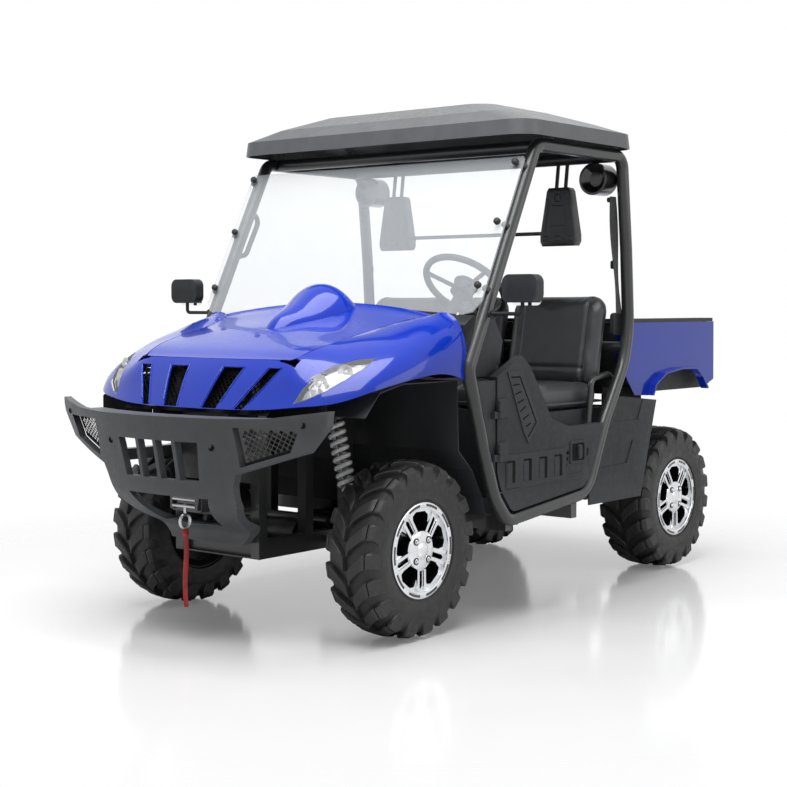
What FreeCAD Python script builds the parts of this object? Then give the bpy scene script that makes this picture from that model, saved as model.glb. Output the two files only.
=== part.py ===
import FreeCAD, Part
import math
import os
import re

import Sketcher
from FreeCAD import Placement, Rotation, Vector

# Driving dimensions
# Each row is the size's name, its value in millimetres or degrees, and what it measures.
# X points to the driver's side, -Y to the front and Z up, with the ground at zero.

SIZES = (
    ("half_length", 1455, "half of the overall length, bumper to tow hitch"),
    ("front_overhang", 685, "bumper front to front axle"),
    ("wheelbase", 1910, "front axle to rear axle"),
    ("seat_gap", 0.3, "gap where a fixed piece seats on its carrier"),
    ("panel_gap", 6, "running gap round a moving panel"),
    ("overrun", 30, "how far a cutting solid runs past what it cuts"),

    ("tyre_radius", 315, "tyre radius over the lugs"),
    ("lug_height", 17, "height of a tread lug"),
    ("lug_length", 56, "tread lug along the tread"),
    ("shoulder_drop", 34, "how far a lug reaches down the sidewall"),
    ("front_tyre_width", 204, "front tyre across the sidewalls"),
    ("rear_tyre_width", 230, "rear tyre across the sidewalls"),
    ("tyre_wall", 13, "thickness of the tyre's casing"),
    ("bead_radius", 152.4, "rim where the tyre's bead sits"),
    ("flange_height", 17, "rim flange above the bead seat"),
    ("flange_thickness", 6, "rim flange along the axle"),
    ("barrel_wall", 5, "rim barrel's wall"),
    ("front_rim_width", 178, "front rim between its flanges"),
    ("rear_rim_width", 203, "rear rim between its flanges"),
    ("front_wheel_x", 548, "front wheel's middle plane"),
    ("rear_wheel_x", 491, "rear wheel's middle plane"),
    ("disc_setback", 11, "rim face behind the outer flange"),
    ("disc_thickness", 18, "thickness of the rim's spoked disc"),
    ("window_inner", 66, "rim window's inner radius"),
    ("window_outer", 137, "rim window's outer radius"),
    ("window_width", 70, "rim window across"),
    ("keyhole_width", 18, "slot between a pair of spokes"),
    ("cap_radius", 30, "centre cap"),
    ("cap_height", 8, "centre cap above the rim's disc"),

    ("kingpin_x", 500, "kingpin from the middle plane"),
    ("carrier_x", 440, "rear hub carrier from the middle plane"),
    ("kingpin_rise", 97, "ball joint above and below the axle"),
    ("joint_pin", 9, "ball joint pin"),
    ("joint_eye", 17, "ball joint eye"),
    ("joint_height", 22, "ball joint eye's height"),
    ("joint_gap", 16, "arm eye to knuckle body"),
    ("knuckle_depth", 46, "knuckle body along the axle"),
    ("knuckle_width", 44, "knuckle body along the vehicle"),
    ("hub_sleeve", 45, "wheel hub's sleeve along the axle"),
    ("hub_radius", 42, "wheel hub's sleeve"),
    ("spindle_radius", 24, "spindle in the wheel hub"),
    ("steer_arm", 70, "kingpin to tie rod eye"),
    ("steer_arm_rise", 38, "steering arm's top above the axle"),
    ("steer_arm_thickness", 12, "steering arm"),
    ("rod_gap", 1.5, "tie rod eye above the steering arm"),
    ("rod_radius", 9, "tie rod"),
    ("rod_eye_radius", 15, "tie rod eye"),
    ("rod_eye_height", 22, "tie rod eye's height"),
    ("rack_radius", 22, "rack housing"),
    ("rack_half", 150, "half of the rack housing"),

    ("arm_tube", 12, "suspension arm tube"),
    ("arm_spread", 110, "half of an arm's pivot spacing"),
    ("bush_radius", 16, "arm pivot bush"),
    ("bush_length", 44, "arm pivot bush"),
    ("lower_pivot_drop", 5, "lower arm pivot below the axle"),
    ("upper_pivot_rise", 155, "upper arm pivot above the axle"),
    ("shock_top_x", 274, "front shock's upper eye"),
    ("shock_top_z", 782, "front shock's upper eye above the ground"),
    ("shock_foot_x", 400, "front shock's lower eye"),
    ("shock_foot_drop", 35, "shock's lower eye below the axle"),
    ("shock_setoff", 52, "shock beside the axle line"),
    ("rear_shock_top_x", 270, "rear shock's upper eye"),
    ("rear_shock_top_z", 720, "rear shock's upper eye above the ground"),
    ("rear_shock_foot_x", 350, "rear shock's lower eye"),
    ("coil_radius", 29, "spring coil's middle line"),
    ("coil_wire", 5, "spring wire radius"),
    ("coil_pitch", 27, "spring coil's pitch"),
    ("damper_radius", 14, "shock damper tube"),
    ("eye_radius", 14, "shock eye"),
    ("shaft_radius", 13, "drive shaft"),
    ("boot_radius", 34, "drive shaft's rubber boot"),
    ("boot_length", 60, "drive shaft's rubber boot"),
    ("gear_case_half", 75, "half of a final drive case"),
    ("gear_case_radius", 60, "final drive case"),

    ("gear_mount", 12, "final drive mount inside the cross member's height"),
    ("rail_x", 190, "chassis rail from the middle plane"),
    ("rail_width", 40, "chassis rail"),
    ("rail_height", 60, "chassis rail"),
    ("rail_bottom", 290, "underside of the chassis rails"),
    ("rail_front_setback", 312, "front rail end behind the bumper front"),
    ("rail_rear_setback", 60, "rear rail end ahead of the hitch end"),
    ("cross_width", 50, "cross member along the vehicle"),
    ("post_width", 40, "upright posts along the vehicle"),
    ("nose_post_top", 800, "top of the nose posts"),
    ("pad_thickness", 12, "shock mount and bed pad plates"),
    ("skid_wall", 5, "skid plate"),

    ("cab_setback", 199, "cab front behind the front axle"),
    ("cab_length", 1118, "cab from pillar foot to pillar back"),
    ("cab_bottom", 373, "sill tube's middle line, lowest"),
    ("cab_height", 1402, "sill tube to roof tube"),
    ("cage_x", 690, "side loop of the cage from the middle plane"),
    ("cage_tube", 25, "cage tube radius"),
    ("floor_level", 400, "underside of the floor tub"),
    ("floor_wall", 5, "floor tub"),
    ("floor_half", 655, "half of the floor tub's width"),

    ("door_thickness", 36, "door over its skin and ribs"),
    ("door_outer_x", 708, "door's outer face"),
    ("hinge_x", 720, "door hinge pin from the middle plane"),
    ("hinge_setback", 158, "door hinge pin behind the cab's front"),
    ("hinge_radius", 8, "hinge barrel"),
    ("hinge_height", 52, "hinge barrel"),
    ("hinge_low_z", 631, "lower hinge's middle"),
    ("hinge_high_z", 788, "upper hinge's middle"),
    ("vent_height", 13, "vent slot in the door"),
    ("vent_pitch", 24, "one vent slot to the next"),
    ("panel_wall", 6, "side panels"),
    ("panel_outer_x", 704, "side panel's outer face"),

    ("body_half", 692, "half of the body's width"),
    ("nose_setback", 178, "foot of the nose behind the bumper front"),
    ("nose_bottom", 816, "foot of the nose above the ground"),
    ("body_run", 722, "nose foot to fender rear"),
    ("body_rise", 364, "nose foot to cowl"),
    ("body_wall", 4, "painted body panels"),
    ("nose_half", 455, "nose panel's half width"),
    ("nose_depth", 150, "nose panel from front to seam"),
    ("hood_gap", 5, "gap between hood and fenders"),
    ("slot_height", 138, "nose slot"),
    ("mesh_bar", 4, "bar of the mesh"),
    ("mesh_pitch", 22, "mesh bars' spacing"),
    ("mesh_wall", 3, "mesh thickness"),
    ("mesh_setback", 26, "nose mesh behind the foot of the nose"),
    ("mesh_lean", 0.6, "nose mesh's setback for each mm of rise"),
    ("bracket_lean", 0.24, "bumper's inner face behind its top for each mm of drop"),
    ("hood_pin_y", -1122, "hood hinge pin"),
    ("hood_pin_z", 960, "hood hinge pin above the ground"),
    ("hood_pin_radius", 6, "hood hinge pin"),
    ("swing_in", 325, "inner side of the nose's relief for the hood's corner"),
    ("swing_out", 396, "outer side of the nose's relief for the hood's corner"),
    ("swing_run", 36, "nose's relief ahead of the hood's pin"),
    ("hood_lug_x", 225, "hood hinge lug from the middle plane"),
    ("hood_lug_width", 18, "hood hinge lug"),
    ("arch_wall", 4, "wheel arch liner"),
    ("arch_half", 650, "half of the width over the wheel arch liners"),
    ("arch_top", 905, "top of the wheel arch liner"),
    ("arch_drop", 105, "wheel arch liner's front end below its top"),
    ("arch_run", 500, "wheel arch liner, front to back"),
    ("arch_skirt", 200, "inner wall below the wheel arch liner's top"),
    ("lever_x", 90, "shift lever from the middle plane"),
    ("lever_length", 90, "shift lever"),
    ("lever_radius", 6, "shift lever"),
    ("knob_radius", 19, "shift lever's knob"),
    ("pipe_radius", 22, "exhaust tail pipe"),
    ("pipe_length", 60, "exhaust tail pipe behind the muffler"),
    ("lamp_height", 150, "tail lamp"),
    ("lamp_width", 32, "tail lamp"),
    ("lamp_thickness", 24, "tail lamp, front to back"),
    ("gate_setback", 15, "tailgate's middle behind the bed"),
    ("gate_hinge_x", 400, "tailgate hinge from the middle plane"),
    ("gate_hinge_rise", 55, "tailgate hinge above the bed's lower edge"),
    ("gate_pin_radius", 6, "tailgate hinge pin"),
    ("gate_tab", 16, "tailgate hinge tab"),
    ("gate_gap", 5, "tailgate hinge above the gate's lower edge"),
    ("muffler_z", 560, "muffler above the ground"),
    ("roof_pad", 20, "roof mount pad"),
    ("pad_front_y", -55, "front roof mount pad"),
    ("pad_rear_y", 415, "rear roof mount pad"),
    ("dome_length", 330, "air scoop on the hood, front to back"),
    ("dome_half", 150, "air scoop's half width"),
    ("dome_height", 92, "air scoop above the hood"),
    ("dome_setback", 22, "air scoop ahead of the hood's rear edge"),
    ("lamp_depth", 70, "headlamp behind its lens"),

    ("bumper_half", 658, "half of the bumper's width"),
    ("bumper_bow", 190, "how far the bumper's ends sweep back"),
    ("bumper_wall", 28, "bumper moulding"),
    ("bumper_top", 803, "top of the bumper's middle"),
    ("bumper_rise", 464, "bumper from its foot to its top"),
    ("bumper_ledge", 75, "bumper's top ledge along the vehicle"),

    ("windshield_wall", 5, "windshield sheet"),
    ("windshield_half", 698, "half of the windshield's width"),
    ("windshield_gap", 16, "windshield ahead of the pillars"),
    ("clamp_radius", 13, "windshield clamp"),

    ("roof_wall", 5, "roof panel"),
    ("roof_bottom", 1803, "lower edge of the roof"),
    ("roof_half", 740, "half of the roof's width"),
    ("roof_rise", 152, "roof's height over its edge"),
    ("roof_run", 805, "roof from front to back"),
    ("roof_front", 277, "roof's front edge ahead of the middle"),
    ("roof_corner", 90, "roof's corner radius"),

    ("cushion_x", 455, "outer seat from the middle plane"),
    ("cushion_width", 362, "outer seat cushion"),
    ("middle_width", 510, "middle seat cushion"),
    ("cushion_length", 470, "seat cushion, front to back"),
    ("cushion_height", 95, "seat cushion"),
    ("cushion_top", 850, "top of the seat cushion"),
    ("seat_front", -5, "front of the seat cushion"),
    ("back_height", 410, "seat back"),
    ("back_depth", 80, "seat back"),
    ("back_lean", 12, "seat back's lean"),
    ("base_wall", 5, "seat base"),
    ("base_half", 628, "half of the seat base's width"),
    ("base_length", 520, "seat base, front to back"),

    ("wheel_centre_x", 380, "steering wheel from the middle plane"),
    ("wheel_centre_y", -165, "steering wheel"),
    ("wheel_centre_z", 1245, "steering wheel above the ground"),
    ("wheel_rim_radius", 165, "steering wheel's rim"),
    ("wheel_grip", 13, "steering wheel's grip"),
    ("wheel_tilt", 47.5, "steering wheel's plane off the vertical"),
    ("wheel_hub_radius", 45, "steering wheel's hub"),
    ("wheel_hub_height", 40, "steering wheel's hub"),
    ("column_radius", 22, "steering column"),
    ("column_length", 330, "steering column"),

    ("headrest_x", 434, "headrest from the middle plane"),
    ("headrest_y", 431, "headrest"),
    ("headrest_bottom", 1417, "headrest's lower edge"),
    ("headrest_height", 241, "headrest"),
    ("headrest_width", 176, "headrest at its bottom"),
    ("headrest_depth", 55, "headrest"),
    ("headrest_rod", 8, "headrest rods and bar"),
    ("pod_y", 455, "speaker pod"),
    ("pod_radius", 65, "speaker pod"),
    ("pod_depth", 90, "speaker pod"),
    ("handle_tube", 11, "grab handle tube"),
    ("hoop_x", 650, "hip hoop from the middle plane"),
    ("hoop_tube", 12, "hip hoop tube"),
    ("belt_width", 48, "seat belt webbing"),
    ("belt_wall", 3, "seat belt webbing"),

    ("mirror_x", 853, "mirror head from the middle plane"),
    ("mirror_y", -467, "mirror head"),
    ("mirror_z", 1232, "mirror head above the ground"),
    ("mirror_width", 148, "mirror head"),
    ("mirror_height", 100, "mirror head"),
    ("mirror_depth", 46, "mirror head"),
    ("mirror_stem", 14, "mirror stem"),

    ("bed_front", 595, "cargo bed's front"),
    ("bed_bottom", 780, "cargo bed's lower edge"),
    ("bed_length", 790, "cargo bed"),
    ("bed_height", 320, "cargo bed"),
    ("bed_half", 680, "half of the bed's outer width"),
    ("bed_side", 30, "flare of the bed side round the wheel"),
    ("bed_wall", 5, "bed panels"),
    ("bed_floor", 30, "bed floor with its ribs"),
    ("bed_tub_half", 600, "half of the bed's inner width"),
    ("bed_rail", 16, "bed's top rail"),
    ("bed_pivot_y", 1275, "bed's tilt hinge"),
    ("bed_pivot_z", 690, "bed's tilt hinge above the ground"),
    ("pivot_radius", 14, "bed's hinge pin"),
    ("gate_thickness", 30, "tailgate"),
    ("gate_half", 590, "half of the tailgate's width"),
    ("gate_height", 250, "tailgate"),

    ("engine_length", 530, "engine and gearbox"),
    ("engine_width", 300, "engine and gearbox"),
    ("engine_height", 330, "engine and gearbox"),
    ("engine_front", 525, "front of the engine"),
    ("muffler_radius", 75, "muffler"),
    ("radiator_height", 250, "radiator"),
    ("radiator_depth", 50, "radiator"),
    ("hitch_tube", 50, "tow hitch receiver outside"),
    ("hitch_bore", 40, "tow hitch receiver inside"),
    ("hitch_length", 150, "tow hitch receiver"),
    ("hitch_pin", 16, "tow hitch pin hole"),

    ("winch_y", -1277, "winch line's plane"),
    ("winch_half", 120, "half of the winch's width"),
    ("winch_radius", 38, "winch drum"),
    ("winch_z", 492, "winch drum above the ground"),
    ("roller_radius", 11, "fairlead roller"),
    ("hook_z", 420, "hook above the ground"),
    ("hook_radius", 24, "hook's bend"),
    ("hook_wire", 6, "hook's thickness"),
    ("strap_end", 116, "red strap's lower end"),
    ("strap_width", 25, "red strap"),
    ("strap_wall", 3, "red strap"),
)

NOTES = {name: note for name, value, note in SIZES}


class Measures:
    """The size sheet's values, read by name."""

    def __init__(self, sheet):
        self.sheet = sheet

    def __getattr__(self, name):
        return float(self.sheet.get(name))


def size_sheet(doc):
    """Lay the driving dimensions out in a spreadsheet, one row each."""
    sheet = doc.addObject("Spreadsheet::Sheet", "Sizes")
    for row, (name, value, note) in enumerate(SIZES, start=1):
        sheet.set(f"A{row}", name)
        sheet.set(f"B{row}", str(value))
        sheet.setAlias(f"B{row}", name)
        sheet.set(f"C{row}", note)
    doc.recompute()
    return sheet


doc = FreeCAD.newDocument("SideBySide")
mm = Measures(size_sheet(doc))
parts = []

FRONT_AXLE = mm.front_overhang - mm.half_length
REAR_AXLE = FRONT_AXLE + mm.wheelbase
CAB_FRONT = FRONT_AXLE + mm.cab_setback
NOSE_FOOT = mm.nose_setback - mm.half_length


# Helpers for bound objects

def bound(text):
    """Spell the size names in an expression as cells of the sheet."""
    return re.sub(r"\b([a-z]\w+)\b", lambda word: spelled(word.group(1)), text)


def spelled(word):
    return "Sizes." + word if word in NOTES else word


def bind(thing, **expressions):
    """Bind properties to size expressions; x, y and z are the place."""
    for name, text in expressions.items():
        target = f"Placement.Base.{name}" if name in "xyz" else name
        thing.setExpression(target, bound(text))
    return thing


def keep(thing, label):
    """Note a finished sub-part under its node name."""
    thing.Label = label
    parts.append(thing)
    return thing


def made(label):
    """The shape of a sub-part that is already kept."""
    return next(thing.Shape for thing in parts if thing.Label == label)


def solid_part(label, *solids):
    """Keep shapes that are made by hand as one sub-part."""
    thing = doc.addObject("Part::Feature", label)
    thing.Shape = solids[0] if len(solids) == 1 else Part.makeCompound(list(solids))
    return keep(thing, label)


# Helpers for plain geometry

def both(shape):
    """A shape and its mirror image on the other side."""
    return [shape, mirrored(shape)]


def mirrored(shape):
    return shape.mirror(Vector(), Vector(1, 0, 0))


def block(x0, x1, y0, y1, z0, z1):
    """A box between two corners."""
    return Part.makeBox(x1 - x0, y1 - y0, z1 - z0, Vector(x0, y0, z0))


def rod(start, end, radius):
    """A round bar from one point to another."""
    along = end - start
    return Part.makeCylinder(radius, along.Length, start, along)


def fused(*shapes):
    """Join shapes that overlap into one solid."""
    first, *rest = shapes
    return first.multiFuse(rest).removeSplitter() if rest else first


def bent_wire(points, radii, closed=False):
    """Straight runs between points, with an arc at each bend."""
    count = len(points)
    bends = range(count) if closed else range(1, count - 1)
    trims = {}
    for i in bends:
        before, here, after = points[i - 1], points[i], points[(i + 1) % count]
        into = (before - here).normalize()
        out = (after - here).normalize()
        half = into.getAngle(out) / 2
        reach = radii[i] / math.tan(half)
        middle = here + (into + out).normalize() * (radii[i] / math.sin(half) - radii[i])
        trims[i] = (here + into * reach, middle, here + out * reach)
    edges = []
    last = count if closed else count - 1
    for i in range(last):
        j = (i + 1) % count
        begin = trims[i][2] if i in trims else points[i]
        finish = trims[j][0] if j in trims else points[j]
        edges.append(Part.LineSegment(begin, finish).toShape())
        if j in trims:
            edges.append(Part.Arc(*trims[j]).toShape())
    return Part.Wire(edges)


def piped(wire, radius):
    """A round tube along a wire, as a solid."""
    first = wire.OrderedEdges[0]
    start = first.valueAt(first.FirstParameter)
    ring = Part.Circle(start, first.tangentAt(first.FirstParameter), radius).toShape()
    return wire.makePipeShell([Part.Wire(ring)], True, False)


def bent_tube(points, bend, radius, closed=False):
    """A bent tube with one bend radius."""
    return piped(bent_wire(points, [bend] * len(points), closed), radius)


def side_points(shares, x, origin, size):
    """Places in a side view from shares of a box that is set at origin."""
    return [Vector(x, origin[0] + share[0] * size[0], origin[1] + share[1] * size[1])
            for share in shares]


def polygon(points):
    return Part.Wire(Part.makePolygon(points + points[:1]))


def plate(points, thickness):
    """A flat outline given a thickness, as a vector."""
    return Part.Face(polygon(points)).extrude(thickness)


def normals(grid):
    """Unit normals at a grid's points, from its neighbours."""
    rows, columns = len(grid), len(grid[0])
    result = []
    for r in range(rows):
        line = []
        for c in range(columns):
            down = grid[min(r + 1, rows - 1)][c] - grid[max(r - 1, 0)][c]
            across = grid[r][min(c + 1, columns - 1)] - grid[r][max(c - 1, 0)]
            line.append(down.cross(across).normalize())
        result.append(line)
    return result


def skin(grid, wall):
    """A curved sheet through a grid of points, with a wall on one side of it."""
    inner = [[point + normal * wall for point, normal in zip(*rows)]
             for rows in zip(grid, normals(grid))]
    faces = []
    for net in (grid, inner):
        surface = Part.BSplineSurface()
        surface.interpolate(net)
        faces.append(surface.toShape())
    sides = [Part.makeRuledSurface(*pair) for pair in zip(faces[0].Edges, faces[1].Edges)]
    shell = Part.makeShell(faces + sides)
    shell.sewShape()
    solid = Part.makeSolid(shell)
    if solid.Volume < 0:
        solid.reverse()
    return solid


# Helpers for sketched bodies

def origin_plane(body, role):
    return next(plane for plane in body.Origin.OriginFeatures if plane.Role == role)


def outline_sketch(body, name, role, places):
    """A closed outline of straight runs, each corner bound to two size formulas."""
    sketch = body.newObject("Sketcher::SketchObject", name)
    sketch.AttachmentSupport = [(origin_plane(body, role), "")]
    sketch.MapMode = "FlatFace"
    count = len(places)
    turns = [2 * math.pi * i / count for i in range(count)]
    ring = [Vector(math.cos(turn), math.sin(turn), 0) * mm.body_half for turn in turns]
    for i in range(count):
        sketch.addGeometry(Part.LineSegment(ring[i], ring[(i + 1) % count]))
    for i in range(count):
        sketch.addConstraint(Sketcher.Constraint("Coincident", i, 2, (i + 1) % count, 1))
    for i, place in enumerate(places):
        for kind, now, text in zip(("DistanceX", "DistanceY"), ring[i], place):
            number = sketch.addConstraint(Sketcher.Constraint(kind, -1, 1, i, 1, now))
            sketch.setExpression(f"Constraints[{number}]", bound(text))
    return sketch


def share_places(shares, origin, size):
    """Formulas for corners that are shares of a box's two sizes."""
    return [tuple(f"{start} + {share} * ({span})"
                  for start, share, span in zip(origin, pair, size)) for pair in shares]


def padded(label, role, places, depth, start="0"):
    """A sketched body: one outline padded along its plane's normal."""
    body = doc.addObject("PartDesign::Body", label)
    sketch = outline_sketch(body, label + "_outline", role, places)
    sketch.setExpression(".AttachmentOffset.Base.z", bound(start))
    pad = body.newObject("PartDesign::Pad", label + "_pad")
    pad.Profile = sketch
    pad.setExpression("Length", bound(depth))
    doc.recompute()
    return keep(body, label)


# Wheels

LUG_COUNT = 11
FLAT_TURN = math.pi / (2 * LUG_COUNT)
# Half of the casing's section above the flange: share of the half width, and of the way
# from bead to tread.
TYRE_PROFILE_SHARES = ((1, 0.5), (0.95, 0.82), (0.62, 1))
CASING_CORNER_SHARE = 0.74
LUG_INNER_SHARE = 0.06
LUG_OUTER_SHARE = 0.92
LUG_LEAN_SHARE = 0.2


def tyre_section(width, rim_width):
    """The casing's section, open at the bead, as (along axle, radius)."""
    seat = (mm.bead_radius + mm.seat_gap) / math.cos(FLAT_TURN)
    rim_edge = seat + mm.flange_height
    crown = mm.tyre_radius - mm.lug_height
    bead = rim_width / 2 - mm.seat_gap
    outer = [(bead, seat), (bead, rim_edge)]
    outer += [(share * width / 2, seat + rise * (crown - seat))
              for share, rise in TYRE_PROFILE_SHARES]
    inner = [(bead - mm.tyre_wall, seat),
             (CASING_CORNER_SHARE * width / 2, crown - mm.tyre_wall)]
    across = outer + [(-along, radius) for along, radius in reversed(outer)]
    back = [(-along, radius) for along, radius in inner] + list(reversed(inner))
    return across + back


def closed_solid(faces):
    """A solid from faces that meet edge to edge."""
    shell = Part.makeShell(faces)
    shell.sewShape()
    solid = Part.makeSolid(shell)
    if solid.Volume < 0:
        solid.reverse()
    return solid


def on_wheel(along, radius, turn, shift=0):
    """A point on the wheel: turned back from the bottom, and shifted along the tread."""
    level = Vector(along, shift, -radius)
    return Rotation(Vector(1, 0, 0), math.degrees(turn)).multVec(level)


def prism_faces(first, second):
    """The faces of a solid between two outlines with as many corners."""
    faces = [Part.Face(polygon(first)), Part.Face(polygon(second))]
    count = len(first)
    for i in range(count):
        j = (i + 1) % count
        faces.append(Part.Face(polygon([first[i], first[j], second[j], second[i]])))
    return faces


def lug(width, side):
    """The bottom lug: it leans across the tread and wraps down over the shoulder."""
    top = mm.tyre_radius
    root = top - mm.lug_height - mm.tyre_wall / 2
    low = top - mm.shoulder_drop - mm.lug_height
    near = LUG_INNER_SHARE * width / 2
    far = LUG_OUTER_SHARE * width / 2
    lean = LUG_LEAN_SHARE * mm.lug_length
    outline = ((near, root), (near, top), (far, top), (width / 2, low),
               (far - mm.tyre_wall / 2, low), (near + mm.tyre_wall, root))
    start = (lean - mm.lug_length) / 2
    corners = [Vector(side * along, start + side * lean * (along / far - 1 / 2), -radius)
               for along, radius in outline]
    return plate(corners, Vector(0, mm.lug_length - lean, 0))


def tyre(width, rim_width):
    """A hollow casing whose flats carry the lugs, the two sides taking turns."""
    section = tyre_section(width, rim_width)
    ends = [[on_wheel(along, radius, way * FLAT_TURN) for along, radius in section]
            for way in (-1, 1)]
    planes = [on_wheel(0, 1, way * FLAT_TURN + math.pi / 2) for way in (-1, 1)]
    flats = []
    for side in (1, -1):
        piece = closed_solid(prism_faces(*ends)).fuse(lug(width, side)).removeSplitter()
        flats.append([face for face in piece.Faces if not any(
            all(abs(vertex.Point.dot(plane)) < mm.seat_gap / 10 for vertex in face.Vertexes)
            for plane in planes)])
    faces = []
    for k in range(2 * LUG_COUNT):
        turn = Placement(Vector(), Rotation(Vector(1, 0, 0), 360 * k / (2 * LUG_COUNT)))
        faces += [face.transformed(turn.toMatrix(), True) for face in flats[k % 2]]
    return closed_solid(faces)


SPOKE_PAIRS = 5
# Corners of a cut-out in the disc: share of its width across, share of its way outwards.
WINDOW_SHARES = ((-0.5, 0), (0.5, 0), (0.62, 0.8), (0.36, 1), (-0.36, 1), (-0.62, 0.8))
KEYHOLE_SHARES = ((-0.5, 0.1), (0.5, 0.1), (0.5, 0.85), (0, 1), (-0.5, 0.85))


def cut_ring(body, name, shares, width, turn):
    """A cut-out through the disc, repeated once for each pair of spokes."""
    run = "(window_outer - window_inner)"
    places = [(f"{across} * {width}", f"window_inner + {out} * {run}") for across, out in shares]
    sketch = outline_sketch(body, f"{body.Name}_{name}", "YZ_Plane", places)
    sketch.AttachmentOffset = Placement(Vector(), Rotation(Vector(0, 0, 1), turn))
    doc.recompute()
    pocket = body.newObject("PartDesign::Pocket", f"{body.Name}_{name}_cut")
    pocket.Profile = sketch
    pocket.Type = 1
    pocket.Midplane = True
    doc.recompute()
    ring = body.newObject("PartDesign::PolarPattern", f"{body.Name}_{name}_ring")
    ring.Originals = [pocket]
    ring.Axis = (origin_plane(body, "X_Axis"), [""])
    ring.Angle = 360
    ring.Occurrences = SPOKE_PAIRS
    body.Tip = ring
    doc.recompute()


def rim(label, width, wheel_x, side, axle_y):
    """A cast rim: a turned barrel and disc with windows and keyhole slots."""
    edge = f"({width} / 2 + flange_thickness)"
    lip = f"{width} / 2"
    face = f"({edge} - disc_setback)"
    back = f"({face} - disc_thickness)"
    flange = "bead_radius + flange_height"
    bore = "bead_radius - barrel_wall"
    sleeve = f"({back} - hub_sleeve)"
    spindle = "spindle_radius + seat_gap"
    body = doc.addObject("PartDesign::Body", label)
    section = outline_sketch(body, label + "_section", "XY_Plane", (
        (f"-{edge}", bore), (f"-{edge}", flange), (f"-{lip}", flange), (f"-{lip}", "bead_radius"),
        (lip, "bead_radius"), (lip, flange), (edge, flange), (edge, bore), (face, bore),
        (face, "0"), (back, "0"), (back, spindle), (sleeve, spindle), (sleeve, "hub_radius"),
        (back, "hub_radius"), (back, bore)))
    turned = body.newObject("PartDesign::Revolution", label + "_turned")
    turned.Profile = section
    turned.ReferenceAxis = (origin_plane(body, "X_Axis"), [""])
    turned.Angle = 360
    doc.recompute()
    cut_ring(body, "window", WINDOW_SHARES, "window_width", 0)
    cut_ring(body, "keyhole", KEYHOLE_SHARES, "keyhole_width", 180 / SPOKE_PAIRS)
    turn = Rotation(Vector(0, 0, 1), 0 if side > 0 else 180)
    place = Vector(side * getattr(mm, wheel_x), axle_y, mm.tyre_radius)
    body.Placement = Placement(place, turn)
    return keep(body, label)


WHEELS = (
    ("front_left", "front_tyre_width", "front_rim_width", "front_wheel_x", 1, FRONT_AXLE),
    ("front_right", "front_tyre_width", "front_rim_width", "front_wheel_x", -1, FRONT_AXLE),
    ("rear_left", "rear_tyre_width", "rear_rim_width", "rear_wheel_x", 1, REAR_AXLE),
    ("rear_right", "rear_tyre_width", "rear_rim_width", "rear_wheel_x", -1, REAR_AXLE),
)


def wheels():
    casings = {}
    for name, tyre_name, rim_name, x_name, side, axle_y in WHEELS:
        if tyre_name not in casings:
            casings[tyre_name] = tyre(getattr(mm, tyre_name), getattr(mm, rim_name))
        made = solid_part("tyre_" + name, casings[tyre_name].copy())
        place = Vector(side * getattr(mm, x_name), axle_y, mm.tyre_radius)
        made.Placement = Placement(place, Rotation(Vector(0, 0, 1), 0 if side > 0 else 180))
        rim("rim_" + name, rim_name, x_name, side, axle_y)


# Running gear

RAIL_OUT = mm.rail_x + mm.rail_width / 2
RAIL_IN = mm.rail_x - mm.rail_width / 2
RAIL_TOP = mm.rail_bottom + mm.rail_height
PIVOT_X = RAIL_OUT + mm.bush_radius
KNUCKLE_HALF = mm.kingpin_rise - mm.joint_height / 2 - mm.joint_gap


def hub_back(width, wheel_x):
    """Where the back of the rim's disc stands along the axle."""
    return wheel_x + width / 2 + mm.flange_thickness - mm.disc_setback - mm.disc_thickness


def carrier(pin_x, axle_y, back):
    """A hub carrier: its body, its two joint pins, its bearing housing and its spindle."""
    centre = Vector(pin_x, axle_y, mm.tyre_radius)
    half = KNUCKLE_HALF
    deep, wide = mm.knuckle_depth / 2, mm.knuckle_width / 2
    body = block(pin_x - deep, pin_x + deep, axle_y - wide, axle_y + wide,
                 centre.z - half, centre.z + half)
    reach = mm.kingpin_rise + mm.joint_height / 2
    pin = rod(centre - Vector(0, 0, reach), centre + Vector(0, 0, reach), mm.joint_pin)
    mouth = back - mm.hub_sleeve - mm.hood_gap
    housing = rod(centre, Vector(mouth, axle_y, centre.z), mm.hub_radius)
    spindle = rod(centre, Vector(back - mm.seat_gap, axle_y, centre.z), mm.spindle_radius)
    return fused(body, pin, housing, spindle)


def steering_arm():
    """The arm behind the kingpin that the tie rod pushes."""
    top = mm.tyre_radius + mm.steer_arm_rise
    bottom = top - mm.steer_arm_thickness
    eye_y = FRONT_AXLE + mm.steer_arm
    half = mm.rod_eye_radius
    web = block(mm.kingpin_x - half, mm.kingpin_x + half, FRONT_AXLE, eye_y, bottom, top)
    tip = rod(Vector(mm.kingpin_x, eye_y, bottom), Vector(mm.kingpin_x, eye_y, top), half)
    return fused(web, tip)


def knuckles():
    back = hub_back(mm.front_rim_width, mm.front_wheel_x)
    left = fused(carrier(mm.kingpin_x, FRONT_AXLE, back), steering_arm())
    solid_part("knuckle_left", left)
    solid_part("knuckle_right", mirrored(left))
    rear = carrier(mm.carrier_x, REAR_AXLE, hub_back(mm.rear_rim_width, mm.rear_wheel_x))
    solid_part("rear_hub_carriers", *both(rear))


def rod_level():
    return mm.tyre_radius + mm.steer_arm_rise + mm.rod_gap + mm.rod_eye_height / 2


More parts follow.
